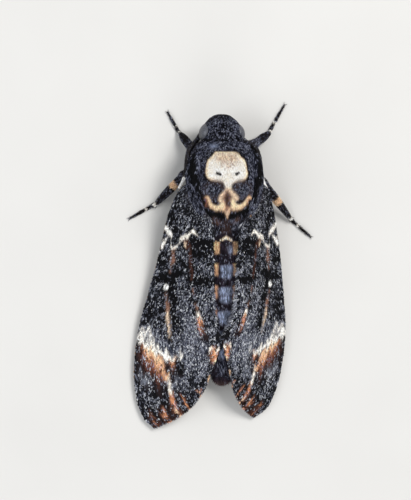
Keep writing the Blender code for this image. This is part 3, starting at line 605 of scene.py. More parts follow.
def tube_mesh(rings):
    """Points and triangles of a closed tube over rings, with a point in the middle of each end."""
    count, sides = rings.shape[:2]
    points = np.concatenate([rings.reshape(-1, 3), rings[:1].mean(1), rings[-1:].mean(1)])
    around = np.arange(sides)
    first, last = count * sides, count * sides + 1
    cap = np.stack([around, np.full(sides, first), (around + 1) % sides], axis=1)
    base = (count - 1) * sides
    end = np.stack([base + around, base + (around + 1) % sides, np.full(sides, last)], axis=1)
    return points, np.concatenate([grid_triangles(count, sides, closed=True), cap, end])


def joined(pieces):
    """One set of points and triangles from several."""
    points, triangles, start = [], [], 0
    for some_points, some_triangles in pieces:
        points.append(some_points)
        triangles.append(some_triangles + start)
        start += len(some_points)
    return np.concatenate(points), np.concatenate(triangles)


def linear(values):
    """Display values from 0 to 255 as the linear ones that materials use."""
    values = np.asarray(values, float) / 255
    return np.where(values <= 0.04045, values / 12.92, ((values + 0.055) / 1.055) ** 2.4)


def swatch(colour):
    return np.array(PALETTE[colour], float)


def ground(colour, count):
    """That colour for each of count places, as display red, green and blue and a share of specks."""
    return np.tile(swatch(colour), (count, 1))


def blend(colours, target, cover):
    """Moves colours towards the target, by each place's cover from 0 to 1."""
    colours += cover[:, None] * (target - colours)


def near_path(x, y, path):
    """How far each place lies outside a path of rows of x, y and half width. It is negative inside."""
    path = np.array(path, float)
    best = np.full(x.shape, np.inf)
    for (ax, ay, wide_a), (bx, by, wide_b) in zip(path[:-1], path[1:]):
        dx, dy = bx - ax, by - ay
        t = np.clip(((x - ax) * dx + (y - ay) * dy) / max(dx * dx + dy * dy, 1e-9), 0, 1)
        away = np.hypot(x - ax - t * dx, y - ay - t * dy) - (wide_a + (wide_b - wide_a) * t)
        best = np.minimum(best, away)
    return best


def paint(colours, x, y, marks, scale=(1.0, 1.0), ragged=0.0):
    """Lays marks over colours, one after another. Ragged is how far their edges wander."""
    wander = ragged * (cloud_noise(x, y, 0.5) + cloud_noise(x, y, 1.3, 11) - 1)
    for colour, softness, *paths in marks:
        for path in paths:
            rows = np.array(path, float) * (*scale, 1.0)
            cover = np.clip(0.5 - (near_path(x, y, rows) + wander) / softness, 0, 1)
            blend(colours, swatch(colour), cover)
    return colours


def cloud_noise(x, y, size, seed=3):
    """Smooth noise from 0 to 1 with patches of that size."""
    lattice = np.random.default_rng(seed).random((256, 256))
    gx, gy = np.asarray(x) / size, np.asarray(y) / size
    ix, iy = np.floor(gx).astype(int), np.floor(gy).astype(int)
    fx, fy = gx - ix, gy - iy
    fx, fy = fx * fx * (3 - 2 * fx), fy * fy * (3 - 2 * fy)
    near = lattice[ix % 256, iy % 256] * (1 - fx) + lattice[(ix + 1) % 256, iy % 256] * fx
    far = lattice[ix % 256, (iy + 1) % 256] * (1 - fx) + lattice[(ix + 1) % 256, (iy + 1) % 256] * fx
    return near * (1 - fy) + far * fy


def body_colours(points):
    """Colours of the head, thorax and abdomen."""
    x, y, z = points.T
    colours = ground("night", len(points))
    upper = z > UPPER_SIDE
    on_thorax = upper & (y > THORAX_MARKED[0]) & (y < THORAX_MARKED[1])
    colours[on_thorax] = paint(colours[on_thorax], x[on_thorax], y[on_thorax], SKULL, ragged=RAGGED["thorax"])
    stippled = np.clip(1 - near_path(x, y, STIPPLE), 0, 1) * (cloud_noise(x, y, 0.2, 17) > 0.55)
    blend(colours, swatch("clay"), 0.4 * stippled * on_thorax)
    on_head = (y > HEAD_MARKED) & upper
    colours[on_head] = paint(colours[on_head], x[on_head], y[on_head], HEAD_MARKS)
    colours[~upper & (y > DARK_BELLY)] = swatch("peat")
    on_abdomen = y < ABDOMEN_MARKED
    colours[on_abdomen] = abdomen_colours(x[on_abdomen], y[on_abdomen], z[on_abdomen])
    return colours


def abdomen_colours(x, y, z):
    """Blue-grey patches along the back, yellow sides and black rings, with a brown end."""
    colours = ground("plum", len(x))
    starts = np.array([ABDOMEN_MARKED, *SEGMENT_ENDS])
    which = np.clip(np.searchsorted(-starts, -y) - 1, 0, len(starts) - 2)
    share = (starts[which] - y) / (starts[which] - starts[which + 1])
    out = np.abs(x - read(ABDOMEN, y) - BACK_STRIPE_X)
    high = z > (read(ABDOMEN, y, 3) + read(ABDOMEN, y, 4)) / 2
    flank = np.where(high, np.clip((out - read(BACK_STRIPE, y)) / 0.4, 0, 1), 1.0)
    ringed = np.clip((0.62 - share) / 0.08, 0, 1) * np.clip((y + 21.5) / 2.5, 0, 1) * (which > 0)
    faded = (high * np.clip((1 - y) / 11, 0, 1))[:, None]
    side = swatch("yellow") * (1 - faded) + swatch("rose") * faded
    blend(colours, side, flank * ringed)
    back = high & (out < 2.6)
    colours[back] = paint(colours[back], x[back], y[back], ABDOMEN_MARKS)
    blend(colours, swatch("clay"), np.clip((-25.6 - y) / 1.5, 0, 0.8))
    depth = 1 - 0.7 * flank * ringed
    colours[:, :3] *= 1 + (depth * (cloud_noise(x * 4, y, 0.7, 21) - 0.5))[:, None]
    return colours


def leg_colours(name, way):
    """Dark legs with pale spots at the joints of the foot, and an orange band on each middle shin."""
    colours = ground("peat", len(way))
    colours[way < 1.1] = PALETTE["haze"]
    for spot in FOOT_SPOTS:
        colours[np.abs(way - spot) < 0.035] = PALETTE["bone"]
    if name in SHIN_BANDS:
        colours[np.abs(way - SHIN_BANDS[name]) < 0.07] = PALETTE["tan"]
    return colours


def tegula_colours(points):
    """Blue-grey flaps with a black outer edge."""
    return paint(ground("night", len(points)), points[:, 0], points[:, 1], SKULL)


def wing_colours(side, u, v):
    """Colours of the upper side of a forewing."""
    marks = WING_MARKS
    if side == "right":
        # The right wing also takes its paler patches of painted light.
        marks = WING_MARKS + RIGHT_WING_LIGHT_MARKS
        v = v - RIGHT_WING_LAG * np.clip(v / 0.2, 0, 1) * np.clip((1 - v) / 0.3, 0, 1)
    x, y = u * WING_SIZE[0], v * WING_SIZE[1]
    flame = STREAK_REACH * np.clip((u - 0.45) / 0.2, 0, 1)
    flames = cloud_noise(x * 0.12, y, 0.34, 9) + cloud_noise(x * 0.3, y, 0.7, 13) - 1
    colours = paint(ground("ink", len(u)), x + flame * flames, y, marks, WING_SIZE, RAGGED["wing"])
    streaks = cloud_noise(x, y, 1.8, 5) * 0.5 + cloud_noise(x * 0.16, y, 0.5, 7) * 0.5
    colours[:, 3] *= 0.25 + 1.5 * streaks
    return colours


def under_colours(u, bands):
    """Colours of the wings' hidden sides and of the hindwings: yellow with dark bands."""
    colours = ground("ochre", len(u))
    for start, end in bands:
        band = np.clip(0.5 - (np.abs(u - (start + end) / 2) - (end - start) / 2) / 0.03, 0, 1)
        blend(colours, swatch("umber"), band)
    return colours


def patchy(points, size):
    """A chance from 0 to 1 for each place, alike within patches of about that size."""
    cells = np.floor((points + rng.uniform(-0.3, 0.3, points.shape) * size) / size).astype(np.int64)
    mixed = (cells * (73856093, 19349663, 83492791)).sum(1)
    mixed = (mixed ^ (mixed >> 13)) * 1274126177
    return ((mixed >> 8) & 0xFFFF) / 0xFFFF


def tuft_tints(middle, end, points, specks, patch, contrast=0.22):
    """Linear colours of each tuft's middle and tip, with pale specks in small patches."""
    shade = 1 + contrast * rng.uniform(-1, 1, (len(middle), 1, 1))
    tints = np.stack([middle[:, :3], end[:, :3]], axis=1) * shade
    speck = patchy(points, patch) < middle[:, 3]
    pick = np.clip(patchy(points + 31.7, patch) + rng.uniform(-0.15, 0.15, len(points)), 0, 1)
    pale = np.stack([np.interp(pick, (0, 0.6, 1), channel) for channel in np.array(specks).T], axis=1)
    tints[speck] = np.maximum(tints, pale[:, None])[speck]
    return linear(np.clip(tints, 0, 255))


def tufts(name, roots, normals, along, size, rise, tints, places, material, vane=False):
    """A joined mesh of closed tufts: slim locks that curve down to the coat, or flat vanes.

    size has rows of length, width and thickness. places are the roots' places on the OFBake map.
    """
    length, width, thick = size.T[:, :, None]
    side = unit(np.cross(along, normals))
    rise = rise[:, None]

    def spine(share, height):
        return roots + along * length * share + normals * rise * height

    if vane:
        shoulder = spine(0.62, 0.62) - normals * thick
        left, right = shoulder - side * width / 2, shoulder + side * width / 2
        corners = [roots - normals * SCALE_ROOT, left, right, spine(1, 1)]
        faces = ((0, 3, 1), (0, 2, 3), (0, 1, 2), (3, 2, 1))
        spread = ((0, -1), (-1, 0.2), (1, 0.2), (0, 1))
        # Painted shade darkens each scale's root and painted light brightens its tip.
        depth = (0.7, 1.0, 1.0, 1.08)
        stage = (0, 0, 0, 1)
    else:
        bend = spine(0.42, 0.72)
        left, right = bend - side * width / 2, bend + side * width / 2
        corners = [roots - normals * TUFT_ROOT, left, right, bend + normals * thick, spine(1, 1)]
        faces = ((0, 3, 1), (0, 2, 3), (0, 1, 2), (4, 1, 3), (4, 3, 2), (4, 2, 1))
        spread = ((0, -1), (-1, 0), (1, 0), (0, 0.3), (0, 1))
        # Painted shade darkens each tuft's root and painted light brightens its tip.
        depth = (0.55, 0.92, 0.92, 1.0, 1.12)
        stage = (0, 0, 0, 0, 1)
    points = np.stack(corners, axis=1)
    points[..., 2] = np.maximum(points[..., 2], LOWEST)
    count, corners_each = points.shape[:2]
    triangles = (np.arange(count)[:, None, None] * corners_each + np.array(faces)).reshape(-1, 3)
    patch = np.array(spread) * PATCH_HALF
    uv = np.clip(places[:, None] + patch, 0.001, 0.999).reshape(-1, 2)
    colours = (tints[:, stage] * np.array(depth)[None, :, None]).reshape(-1, 3)
    return mesh_from(name, points.reshape(-1, 3), triangles, np.clip(colours, 0, 1), material, uv, False)


def new_material(name):
    """A material, with the tree of its nodes and its shader."""
    made = bpy.data.materials.new(name)
    made.use_nodes = True
    return made, made.node_tree, made.node_tree.nodes["Principled BSDF"]


def wire(tree, node, inputs):
    """Sets each named input of a node to a plain value, or links it to another node's output."""
    for name, value in inputs.items():
        if isinstance(value, bpy.types.NodeSocket):
            tree.links.new(value, node.inputs[name])
        else:
            node.inputs[name].default_value = value


def add_node(tree, kind, inputs, **settings):
    """The outputs of a new node."""
    node = tree.nodes.new("ShaderNode" + kind)
    for name, value in settings.items():
        setattr(node, name, value)
    wire(tree, node, inputs)
    return node.outputs


def ranged(tree, source, low, high, start=0.0, end=1.0):
    """The source moved from the range between start and end to the one between low and high."""
    inputs = {"Value": source, "From Min": start, "From Max": end, "To Min": low, "To Max": high}
    return add_node(tree, "MapRange", inputs)["Result"]


def multiplied(tree, colour, shade):
    inputs = {"Factor": 1.0, "A": colour, "B": shade}
    return add_node(tree, "Mix", inputs, data_type="RGBA", blend_type="MULTIPLY")["Result"]


def toned(tree, source, first, last, end=1.0):
    """A colour that goes from the first to the last as the source goes from 0 to the end."""
    node = tree.nodes.new("ShaderNodeValToRGB")
    wire(tree, node, {"Fac": source})
    node.color_ramp.elements[0].color = (*first, 1)
    node.color_ramp.elements[1].color = (*last, 1)
    node.color_ramp.elements[1].position = end
    return node.outputs["Color"]


def raised(tree, source, strength, height):
    inputs = {"Height": source, "Strength": strength, "Distance": height * MM}
    return add_node(tree, "Bump", inputs)["Normal"]


def painted_material(name, roughness, sheen, grain, bump, variation=0.35, specular=0.4):
    """A finish that takes its colour from the painted mesh and breaks it up with fine grain."""
    made, tree, shader = new_material(name)
    painted = add_node(tree, "VertexColor", {}, layer_name="Coat")["Color"]
    place = add_node(tree, "TexCoord", {})["Object"]
    noise = add_node(tree, "TexNoise", {"Vector": place, "Scale": grain, "Detail": 3.0})["Fac"]
    wire(tree, shader, {
        "Base Color": multiplied(tree, painted, ranged(tree, noise, 1 - variation, 1 + variation)),
        "Roughness": ranged(tree, noise, roughness - 0.1, roughness + 0.1),
        "Sheen Weight": sheen,
        "Sheen Roughness": 0.4,
        "Specular IOR Level": specular,
    })
    if bump:
        wire(tree, shader, {"Normal": raised(tree, noise, bump, 0.05)})
    return made


def eye_material():
    """An eye of fine facets, grey-blue with a painted reflection of the sky, lighter above and darker below
    with painted light and shade.
    """
    made, tree, shader = new_material("compound eye")
    place = add_node(tree, "TexCoord", {})["Object"]
    facets = add_node(tree, "TexVoronoi", {"Vector": place, "Scale": 7500.0})["Distance"]
    # The facets' grey-blue is a painted reflection of the sky in the glossy eye.
    tones = toned(tree, facets, (0.120, 0.127, 0.155), (0.012, 0.012, 0.018), 0.75)
    height = add_node(tree, "SeparateXYZ", {"Vector": place})["Z"]
    low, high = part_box("eye_left")
    wire(tree, shader, {
        # Painted light and shade: the colour grows lighter towards the eye's top and darker towards its
        # bottom.
        "Base Color": multiplied(tree, tones, ranged(tree, height, 0.06, 1.35, low[2], high[2])),
        "Roughness": ranged(tree, facets, 0.34, 0.5),
        "Specular IOR Level": 0.8,
        "Normal": raised(tree, facets, 0.6, 0.02),
    })
    return made


def floor_material():
    made, tree, shader = new_material("pale floor")
    noise = add_node(tree, "TexNoise", {"Scale": 120.0})["Fac"]
    tones = toned(tree, noise, (0.60, 0.59, 0.57), (0.64, 0.63, 0.61))
    wire(tree, shader, {"Base Color": tones, "Roughness": 0.85})
    return made


class Bed:
    """A patch of surface that the coat grows on, as rings of points, with its window on the map."""

    def __init__(self, part, rings, window, way=None):
        count, sides = rings.shape[:2]
        self.part = part
        self.rings = rings
        self.along = unit(np.gradient(rings, axis=0))
        self.around = unit(np.roll(rings, -1, axis=1) - np.roll(rings, 1, axis=1))
        share, turn = np.meshgrid(np.linspace(0, 1, count), np.arange(sides) / sides, indexing="ij")
        left, low, right, high = window
        self.uv = np.stack([left + (right - left) * turn, low + (high - low) * share], axis=-1)
        length = np.linalg.norm(np.diff(rings.mean(1), axis=0), axis=1).sum()
        girth = np.linalg.norm(rings - np.roll(rings, 1, axis=1), axis=-1).sum(1).max()
        self.scale = ((right - left) / girth, (high - low) / length)
        self.way = np.broadcast_to((share[:, 0] if way is None else way)[:, None], share.shape)


def make_beds():
    """Every patch of skin, lying inside its solid by the coat's depth."""
    beds = [Bed("body", body_rings(), (0.01, 0.01, 0.60, 0.99))]
    for k, (side, sign) in enumerate((("left", -1), ("right", 1))):
        palp = [(HEAD_MIDDLE + sign * x, y, z, radius) for x, y, z, radius in PALP]
        window = (0.62 + 0.19 * k, 0.01, 0.79 + 0.19 * k, 0.14)
        rings = tube_rings(palp, 20, 24, (1, 0, 0), -PART_DEPTH["palp"])
        beds.append(Bed(f"palp_{side}", rings, window))
        flap = [(sign * x, *rest) for x, *rest in TEGULA]
        facing = (sign * TEGULA_FACES[0], *TEGULA_FACES[1:])
        window = (0.62 + 0.19 * k, 0.16, 0.79 + 0.19 * k, 0.40)
        rings = tube_rings(flap, 32, 48, facing, -PART_DEPTH["tegula"])
        beds.append(Bed(f"tegula_{side}", rings, window))
    for k, (name, joints) in enumerate(LEG_JOINTS.items()):
        window = (0.62 + 0.06 * k, 0.42, 0.67 + 0.06 * k, 0.99)
        rings = tube_rings(leg_path(joints), 14, 90, grow=-PART_DEPTH["leg"])
        rings[..., 2] = np.maximum(rings[..., 2], PART_DEPTH["leg"])
        spans = np.linalg.norm(np.diff(np.array(joints), axis=0), axis=1)
        stops = np.concatenate([[0], np.cumsum(spans)]) / spans.sum()
        way = np.interp(np.linspace(0, 1, len(rings)), stops, range(4))
        beds.append(Bed(name, rings, window, way))
    return beds


class Pelt:
    """Looks up the bed under any place on the skin."""

    def __init__(self, beds):
        self.beds = beds
        self.points = np.concatenate([b.rings.reshape(-1, 3) for b in beds])
        self.along = np.concatenate([b.along.reshape(-1, 3) for b in beds])
        self.around = np.concatenate([b.around.reshape(-1, 3) for b in beds])
        self.uv = np.concatenate([b.uv.reshape(-1, 2) for b in beds])
        self.way = np.concatenate([b.way.ravel() for b in beds])
        self.bed = np.concatenate([np.full(b.way.size, k) for k, b in enumerate(beds)])
        self.scale = np.array([b.scale for b in beds])
        self.tree = KDTree(len(self.points))
        for k, point in enumerate(self.points):
            self.tree.insert(point, k)
        self.tree.balance()

    def under(self, points):
        """The index of the nearest bed point for each place."""
        return np.array([self.tree.find(p)[1] for p in points])

    def map_places(self, points, found):
        """Places on the map, moved from the nearest bed point's by what is left."""
        rest = points - self.points[found]
        scale = self.scale[self.bed[found]]
        moved = np.stack([(rest * self.around[found]).sum(1), (rest * self.along[found]).sum(1)], axis=1)
        return self.uv[found] + moved * scale

    def colours(self, points, found):
        """The markings at each place."""
        colours = np.zeros((len(points), 4))
        for k, bed in enumerate(self.beds):
            here = self.bed[found] == k
            if bed.part == "body":
                colours[here] = body_colours(points[here])
            elif "leg" in bed.part:
                colours[here] = leg_colours(bed.part, self.way[found[here]])
            elif "tegula" in bed.part:
                colours[here] = tegula_colours(points[here])
            else:
                colours[here] = ground("night", here.sum())
        return colours

    def coat_sizes(self, points, found):
        """Tuft length, width, number for each square mm, and rise, at each place."""
        sizes = np.zeros((len(points), 4))
        for k, bed in enumerate(self.beds):
            here = self.bed[found] == k
            if bed.part == "body":
                sizes[here] = np.stack([read(BODY_COAT, points[here, 1], c) for c in range(1, 5)], axis=1)
            else:
                sizes[here] = PART_COAT[bed.part.split("_")[0]]
            if "tegula" in bed.part:
                way = self.way[found[here]]
                speed, least = TEGULA_TAPER
                sizes[here] *= np.clip(speed * np.minimum(way, 1 - way), least, 1)[:, None] ** (1, 0.3, 0, 1)
            if "leg" in bed.part:
                thigh = np.clip(1.2 - self.way[found[here]], 0, 0.5)[:, None] * THIGH_FUR
                sizes[here] *= 1 + thigh
        return sizes


def make_skin(beds, pelt, material):
    """One closed skin over the head, body, palps, tegulae and legs."""
    points, triangles = joined([tube_mesh(bed.rings) for bed in beds])
    rough = mesh_from("skin blocks", points, triangles, np.ones((len(points), 3)), material)
    remesh = rough.modifiers.new("one skin", "REMESH")
    remesh.mode = "VOXEL"
    remesh.voxel_size = SKIN_VOXEL * MM
    soften = rough.modifiers.new("soften", "SMOOTH")
    soften.factor = 0.5
    soften.iterations = 3
    graph = bpy.context.evaluated_depsgraph_get()
    mesh = bpy.data.meshes.new_from_object(rough.evaluated_get(graph))
    mesh.calc_loop_triangles()
    triangles = np.empty(len(mesh.loop_triangles) * 3, int)
    mesh.loop_triangles.foreach_get("vertices", triangles)
    points, normals = np.empty((2, len(mesh.vertices) * 3))
    mesh.vertices.foreach_get("co", points)
    mesh.vertices.foreach_get("normal", normals)
    bpy.data.objects.remove(rough)
    bpy.data.meshes.remove(mesh)
    points = points.reshape(-1, 3) / MM - SHIFT
    triangles, normals = triangles.reshape(-1, 3), normals.reshape(-1, 3)
    found = pelt.under(points)
    # The skin lies under the fur, so its colours are darkened with painted shade.
    colours = linear(pelt.colours(points, found)[:, :3]) * SKIN_SHADE
    skin = mesh_from("skin", points, triangles, colours, material, pelt.map_places(points, found))
    return skin, points, normals, triangles, found


def scatter(points, normals, triangles, density):
    """Random places on a mesh, evenly spread, with density for each square mm at each point."""
    corners = points[triangles]
    area = np.linalg.norm(np.cross(corners[:, 1] - corners[:, 0], corners[:, 2] - corners[:, 0]), axis=1) / 2
    ends = np.cumsum(area * density[triangles].mean(1))
    count = int(ends[-1])
    which = np.searchsorted(ends, np.arange(count) + rng.random(count)).clip(0, len(triangles) - 1)
    a, b = rng.random((2, count, 1))
    flip = a + b > 1
    a, b = np.where(flip, 1 - a, a), np.where(flip, 1 - b, b)
    weights = np.concatenate([1 - a - b, a, b], axis=1)[:, :, None]
    found = triangles[which]
    return (points[found] * weights).sum(1), unit((normals[found] * weights).sum(1))


def combed(along, normals, stray):
    """Directions along the lie of the coat, level with the skin, each turned a little at random."""
    level = unit(along - normals * (along * normals).sum(1, keepdims=True))
    side = np.cross(normals, level)
    turn = rng.normal(0, stray, (len(level), 1))
    return level * np.cos(turn) + side * np.sin(turn)


def make_fur(skin_points, skin_normals, triangles, skin_found, pelt, material):
    """The fur over the whole skin, parted into pieces by body region."""
    density = pelt.coat_sizes(skin_points, skin_found)[:, 2]
    roots, normals = scatter(skin_points, skin_normals, triangles, density)
    found = pelt.under(roots)
    size = pelt.coat_sizes(roots, found)
    vary = rng.uniform(0.75, 1.25, len(roots))
    length = size[:, 0] * vary
    width = size[:, 1] * rng.uniform(0.8, 1.2, len(roots))
    rise = size[:, 3] * rng.uniform(0.7, 1.2, len(roots))
    along = combed(pelt.along[found], normals, np.where(roots[:, 1:2] < TAIL_BRUSH, *FUR_STRAY))
    middle = pelt.colours(roots + along * (length * 0.42)[:, None], found)
    end = pelt.colours(roots + along * length[:, None], found)
    tints = tuft_tints(middle, end, roots, FUR_SPECKS, FUR_PATCH)
    places = pelt.map_places(roots, found)
    sizes = np.stack([length, width, width * TUFT_THICKNESS], axis=1)
    part = np.array([bed.part for bed in pelt.beds])[pelt.bed[found]]
    body, x, y = part == "body", roots[:, 0], roots[:, 1]
    legs = np.char.startswith(part, "leg")
    thorax = body & (y <= HEAD_FUR_ENDS) & (y > THORAX_FUR_ENDS)
    regions = {
        "fur_head": (body & (y > HEAD_FUR_ENDS)) | np.char.startswith(part, "palp"),
        "fur_thorax_left": thorax & (x < 0),
        "fur_thorax_right": thorax & (x >= 0),
        "fur_abdomen": body & (y <= THORAX_FUR_ENDS),
        "fur_tegulae": np.char.startswith(part, "tegula"),
        "fur_legs_left": legs & (x < 0),
        "fur_legs_right": legs & (x >= 0),
    }
    slots = {"fur_abdomen": "abdomen_fur", "fur_legs_left": "leg_scales", "fur_legs_right": "leg_scales"}
    for name, here in regions.items():
        fur = tufts(name, roots[here], normals[here], along[here], sizes[here], rise[here],
                    tints[here], places[here], material)
        keep(fur, slots.get(name, "body_fur"))


def keep(piece, slot, *nodes):
    """Ties a piece to the body and hides the nodes it stands for. Its slot is not used."""
    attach(piece, "root")
    if nodes:
        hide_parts(*nodes)


def sheet(name, points, thickness, colours, material):
    """A closed thin sheet around a grid of points."""
    rows, columns = points.shape[:2]
    normal = unit(np.cross(np.gradient(points, axis=0), np.gradient(points, axis=1)))
    normal *= np.sign(normal[..., 2:].mean())
    half = normal * thickness / 2
    both = np.concatenate([(points + half).reshape(-1, 3), (points - half).reshape(-1, 3)])
    top = grid_triangles(rows, columns)
    index = np.arange(rows * columns).reshape(rows, columns)
    rim = np.concatenate([index[0], index[1:, -1], index[-1, -2::-1], index[-2:0:-1, 0]])
    after = np.roll(rim, -1)
    low = index.size
    sides = (rim, after, after + low), (rim, after + low, rim + low)
    edge = np.concatenate([np.stack(corners, axis=1) for corners in sides])
    upward = np.cross(*(both[top[0]][1:] - both[top[0]][0])) @ normal.reshape(-1, 3)[0] > 0
    faces = [top, top[:, ::-1] + low, edge[:, ::-1]] if upward else [top[:, ::-1], top + low, edge]
    return mesh_from(name, both, np.concatenate(faces), np.tile(colours, (2, 1)), material)


def surface_frames(side, u, v, drop=0.0):
    """Place, upward normal and direction to the tip at shares of a wing."""
    step = 0.004
    here = wing_points(side, u, v, drop)
    out = wing_points(side, u + step, v, drop) - wing_points(side, u - step, v, drop)
    back = wing_points(side, u, v + step, drop) - wing_points(side, u, v - step, drop)
    normal = unit(np.cross(out, back))
    normal *= np.sign(normal[:, 2:])
    return here, normal, unit(out)


def scale_grid(rows, columns):
    """Shares of a wing where its scales are rooted: staggered rows with a little disorder."""
    i, j = np.meshgrid(np.arange(rows), np.arange(columns), indexing="ij")
    u = (i + 0.5 + rng.uniform(-0.32, 0.32, i.shape)) / rows
    v = (j + 0.5 * (i % 2) + 0.25 + rng.uniform(-0.32, 0.32, i.shape)) / columns
    return u.ravel(), np.clip(v, 0, 1).ravel()


def wing_places(u, v):
    """Places on the map for shares of a wing."""
    start, size = WING_MAP
    return np.stack([start + size * u, start + size * v], axis=1)


def wing_scales(name, side, u, v, paints, kind, material, slot, drop=0.0, below=False):
    """Overlapping scales on one face of a wing. paints are the colours at their middles and tips."""
    size = SCALE_SIZES[kind]
    here, normal, out = surface_frames(side, u, v, drop)
    relief = vein_relief(u, v)[:, None] * (not below)
    facing = -normal if below else normal
    roots = here + normal * relief + facing * (MEMBRANE / 2 - 0.01)
    count = len(u)
    length = size[0] * rng.uniform(0.8, 1.2, count)
    width = size[1] * rng.uniform(0.8, 1.2, count)
    rise = size[2] * rng.uniform(0.6, 1.3, count)
    sizes = np.stack([length, width, width * 0.2], axis=1)
    cells = np.stack([u * WING_SIZE[0] * SPECK_STRETCH, v * WING_SIZE[1], np.full(count, drop)], axis=1)
    tints = tuft_tints(*paints, cells, WING_SPECKS, WING_PATCH)
    tints[patchy(cells + 57.1, WING_PATCH) < DARK_SHARE] *= DARK_TINT
    lie = combed(out, facing, 0.12)
    scales = tufts(name, roots, facing, lie, sizes, rise, tints, wing_places(u, v), material, vane=True)
    keep(scales, slot)


def make_forewing(side, materials):
    """A forewing: bare veined membrane, with scales above and below."""
    u, v = np.meshgrid(np.linspace(0, 1, 181), np.linspace(0, 1, 91), indexing="ij")
    points = wing_points(side, u, v)
    _, normal, _ = surface_frames(side, u.ravel(), v.ravel())
    points += normal.reshape(points.shape) * vein_relief(u, v)[..., None]
    # The membrane lies under the scales, so its colours are darkened with painted shade.
    colours = linear(wing_colours(side, u.ravel(), v.ravel())[:, :3]) * MEMBRANE_SHADE
    membrane = sheet(f"membrane_forewing_{side}", points, MEMBRANE, colours, materials["membrane"])
    keep(membrane, "forewing_scales", f"forewing_{side}")
    u, v = scale_grid(*SCALE_ROWS["upper"])
    paints = [wing_colours(side, u + reach / WING_SIZE[0], v) for reach in SCALE_REACH]
    wing_scales(f"scales_forewing_{side}", side, u, v, paints, "upper",
                materials["scales"], "forewing_scales")
    u, v = scale_grid(*SCALE_ROWS["under"])
    paints = [under_colours(u, UNDER_BANDS)] * 2
    wing_scales(f"underscales_forewing_{side}", side, u, v, paints, "under",
                materials["scales"], "forewing_scales", below=True)


def hindwing_shares(out, back):
    """Shares of the forewing where a hindwing's points lie under it: a fan with a rounded edge."""
    u = HINDWING_SPAN[0] + (HINDWING_SPAN[1] - HINDWING_SPAN[0]) * out
    u = u + HINDWING_BOW * out**2 * 4 * back * (1 - back)
    width = (HINDWING_CHORD[1] - HINDWING_CHORD[0]) * (1 - HINDWING_TAPER * out**3)
    return u, sum(HINDWING_CHORD) / 2 + (back - 0.5) * width


def make_hindwing(side, materials):
    """A hindwing folded under the forewing, yellow with two dark bands."""
    out, back = np.meshgrid(np.linspace(0, 1, 81), np.linspace(0, 1, 51), indexing="ij")
    u, v = hindwing_shares(out, back)
    points = wing_points(side, u, v, HINDWING_DROP)
    # The membrane lies under the scales, so its colours are darkened with painted shade.
    colours = linear(under_colours(out.ravel(), HINDWING_BANDS)[:, :3]) * MEMBRANE_SHADE
    membrane = sheet(f"membrane_hindwing_{side}", points, MEMBRANE, colours, materials["membrane"])
    keep(membrane, "hindwing_scales", f"hindwing_{side}")
    for face, below in (("upper", False), ("lower", True)):
        out, back = scale_grid(*SCALE_ROWS["hind"])
        u, v = hindwing_shares(out, back)
        paints = [under_colours(out, HINDWING_BANDS)] * 2
        wing_scales(f"scales_hindwing_{side}_{face}", side, u, v, paints, "hind",
                    materials["scales"], "hindwing_scales", HINDWING_DROP, below)


def hairs(length, spread, width, count):
    """Rows of length, width and thickness, with lengths spread about at random."""
    lengths = length * rng.uniform(*spread, count)
    return np.stack([lengths, np.full(count, width), np.full(count, 0.05)], axis=1)


def make_fringe(side, materials):
    """Hair scales along the outer edge of a forewing, and long hairs along its inner edge."""
    count = FRINGE_COUNT
    v = rng.random(count)
    u = 1.0 - rng.random(count) * 0.012
    here, normal, out = surface_frames(side, u, v)
    colours = wing_colours(side, np.full(count, 0.985), v)
    size = hairs(1.0, OUTER_FRINGE, 0.14, count)
    edges = [(here, normal, combed(out, normal, 0.15), size, np.full(count, 0.06), colours, u, v)]
    turned_out, length = INNER_FRINGE[side]
    u = rng.random(count) ** 1.2 * 0.8
    v = 1.0 - rng.random(count) * 0.02
    here, normal, out = surface_frames(side, u, v)
    back = unit(wing_points(side, u, np.ones(count)) - wing_points(side, u, np.full(count, 0.96)))
    lean = turned_out * np.clip((u - 0.2) / 0.15, 0.2, 1)[:, None]
    lie = combed(unit(out + back * lean), normal, 0.2)
    size = hairs(length, (0.7, 1.3), 0.13, count)
    edges.append((here, normal, lie, size, np.full(count, 0.08), wing_colours(side, u, v), u, v))
    here, normal, lie, size, rise, colours, u, v = (np.concatenate(part) for part in zip(*edges))
    tints = tuft_tints(colours, colours, here, WING_SPECKS, WING_PATCH)
    fringe = tufts(f"fringe_forewing_{side}", here, normal, lie, size, rise, tints, wing_places(u, v),
                   materials["fur"])
    keep(fringe, "forewing_scales")


def make_eye(side, sign, material):
    """An ellipsoid set in the head, made of many small quads."""
    tilt = np.linspace(0.02, math.pi - 0.02, 48)
    turn = np.linspace(0, 2 * math.pi, 72, endpoint=False)
    x = np.outer(np.sin(tilt), np.sin(turn)) * EYE_RADII[0]
    y = np.outer(np.cos(tilt), np.ones(72)) * EYE_RADII[1]
    z = np.outer(np.sin(tilt), np.cos(turn)) * EYE_RADII[2]
    toe = sign * EYE_TOE_IN
    turned = (x * math.cos(toe) - y * math.sin(toe), x * math.sin(toe) + y * math.cos(toe), z)
    centre = np.array((HEAD_MIDDLE + sign * EYE_CENTRE[0], *EYE_CENTRE[1:]))
    points, triangles = tube_mesh(np.stack(turned, axis=-1) + centre)
    eye = mesh_from(f"eyeball_{side}", points, triangles, np.ones((len(points), 3)), material)
    keep(eye, "eye", f"eye_{side}")


def white_end(way):
    """Where a feeler is white, from 0 to 1."""
    return np.clip((way - ANTENNA_WHITE) / 0.02, 0, 1)


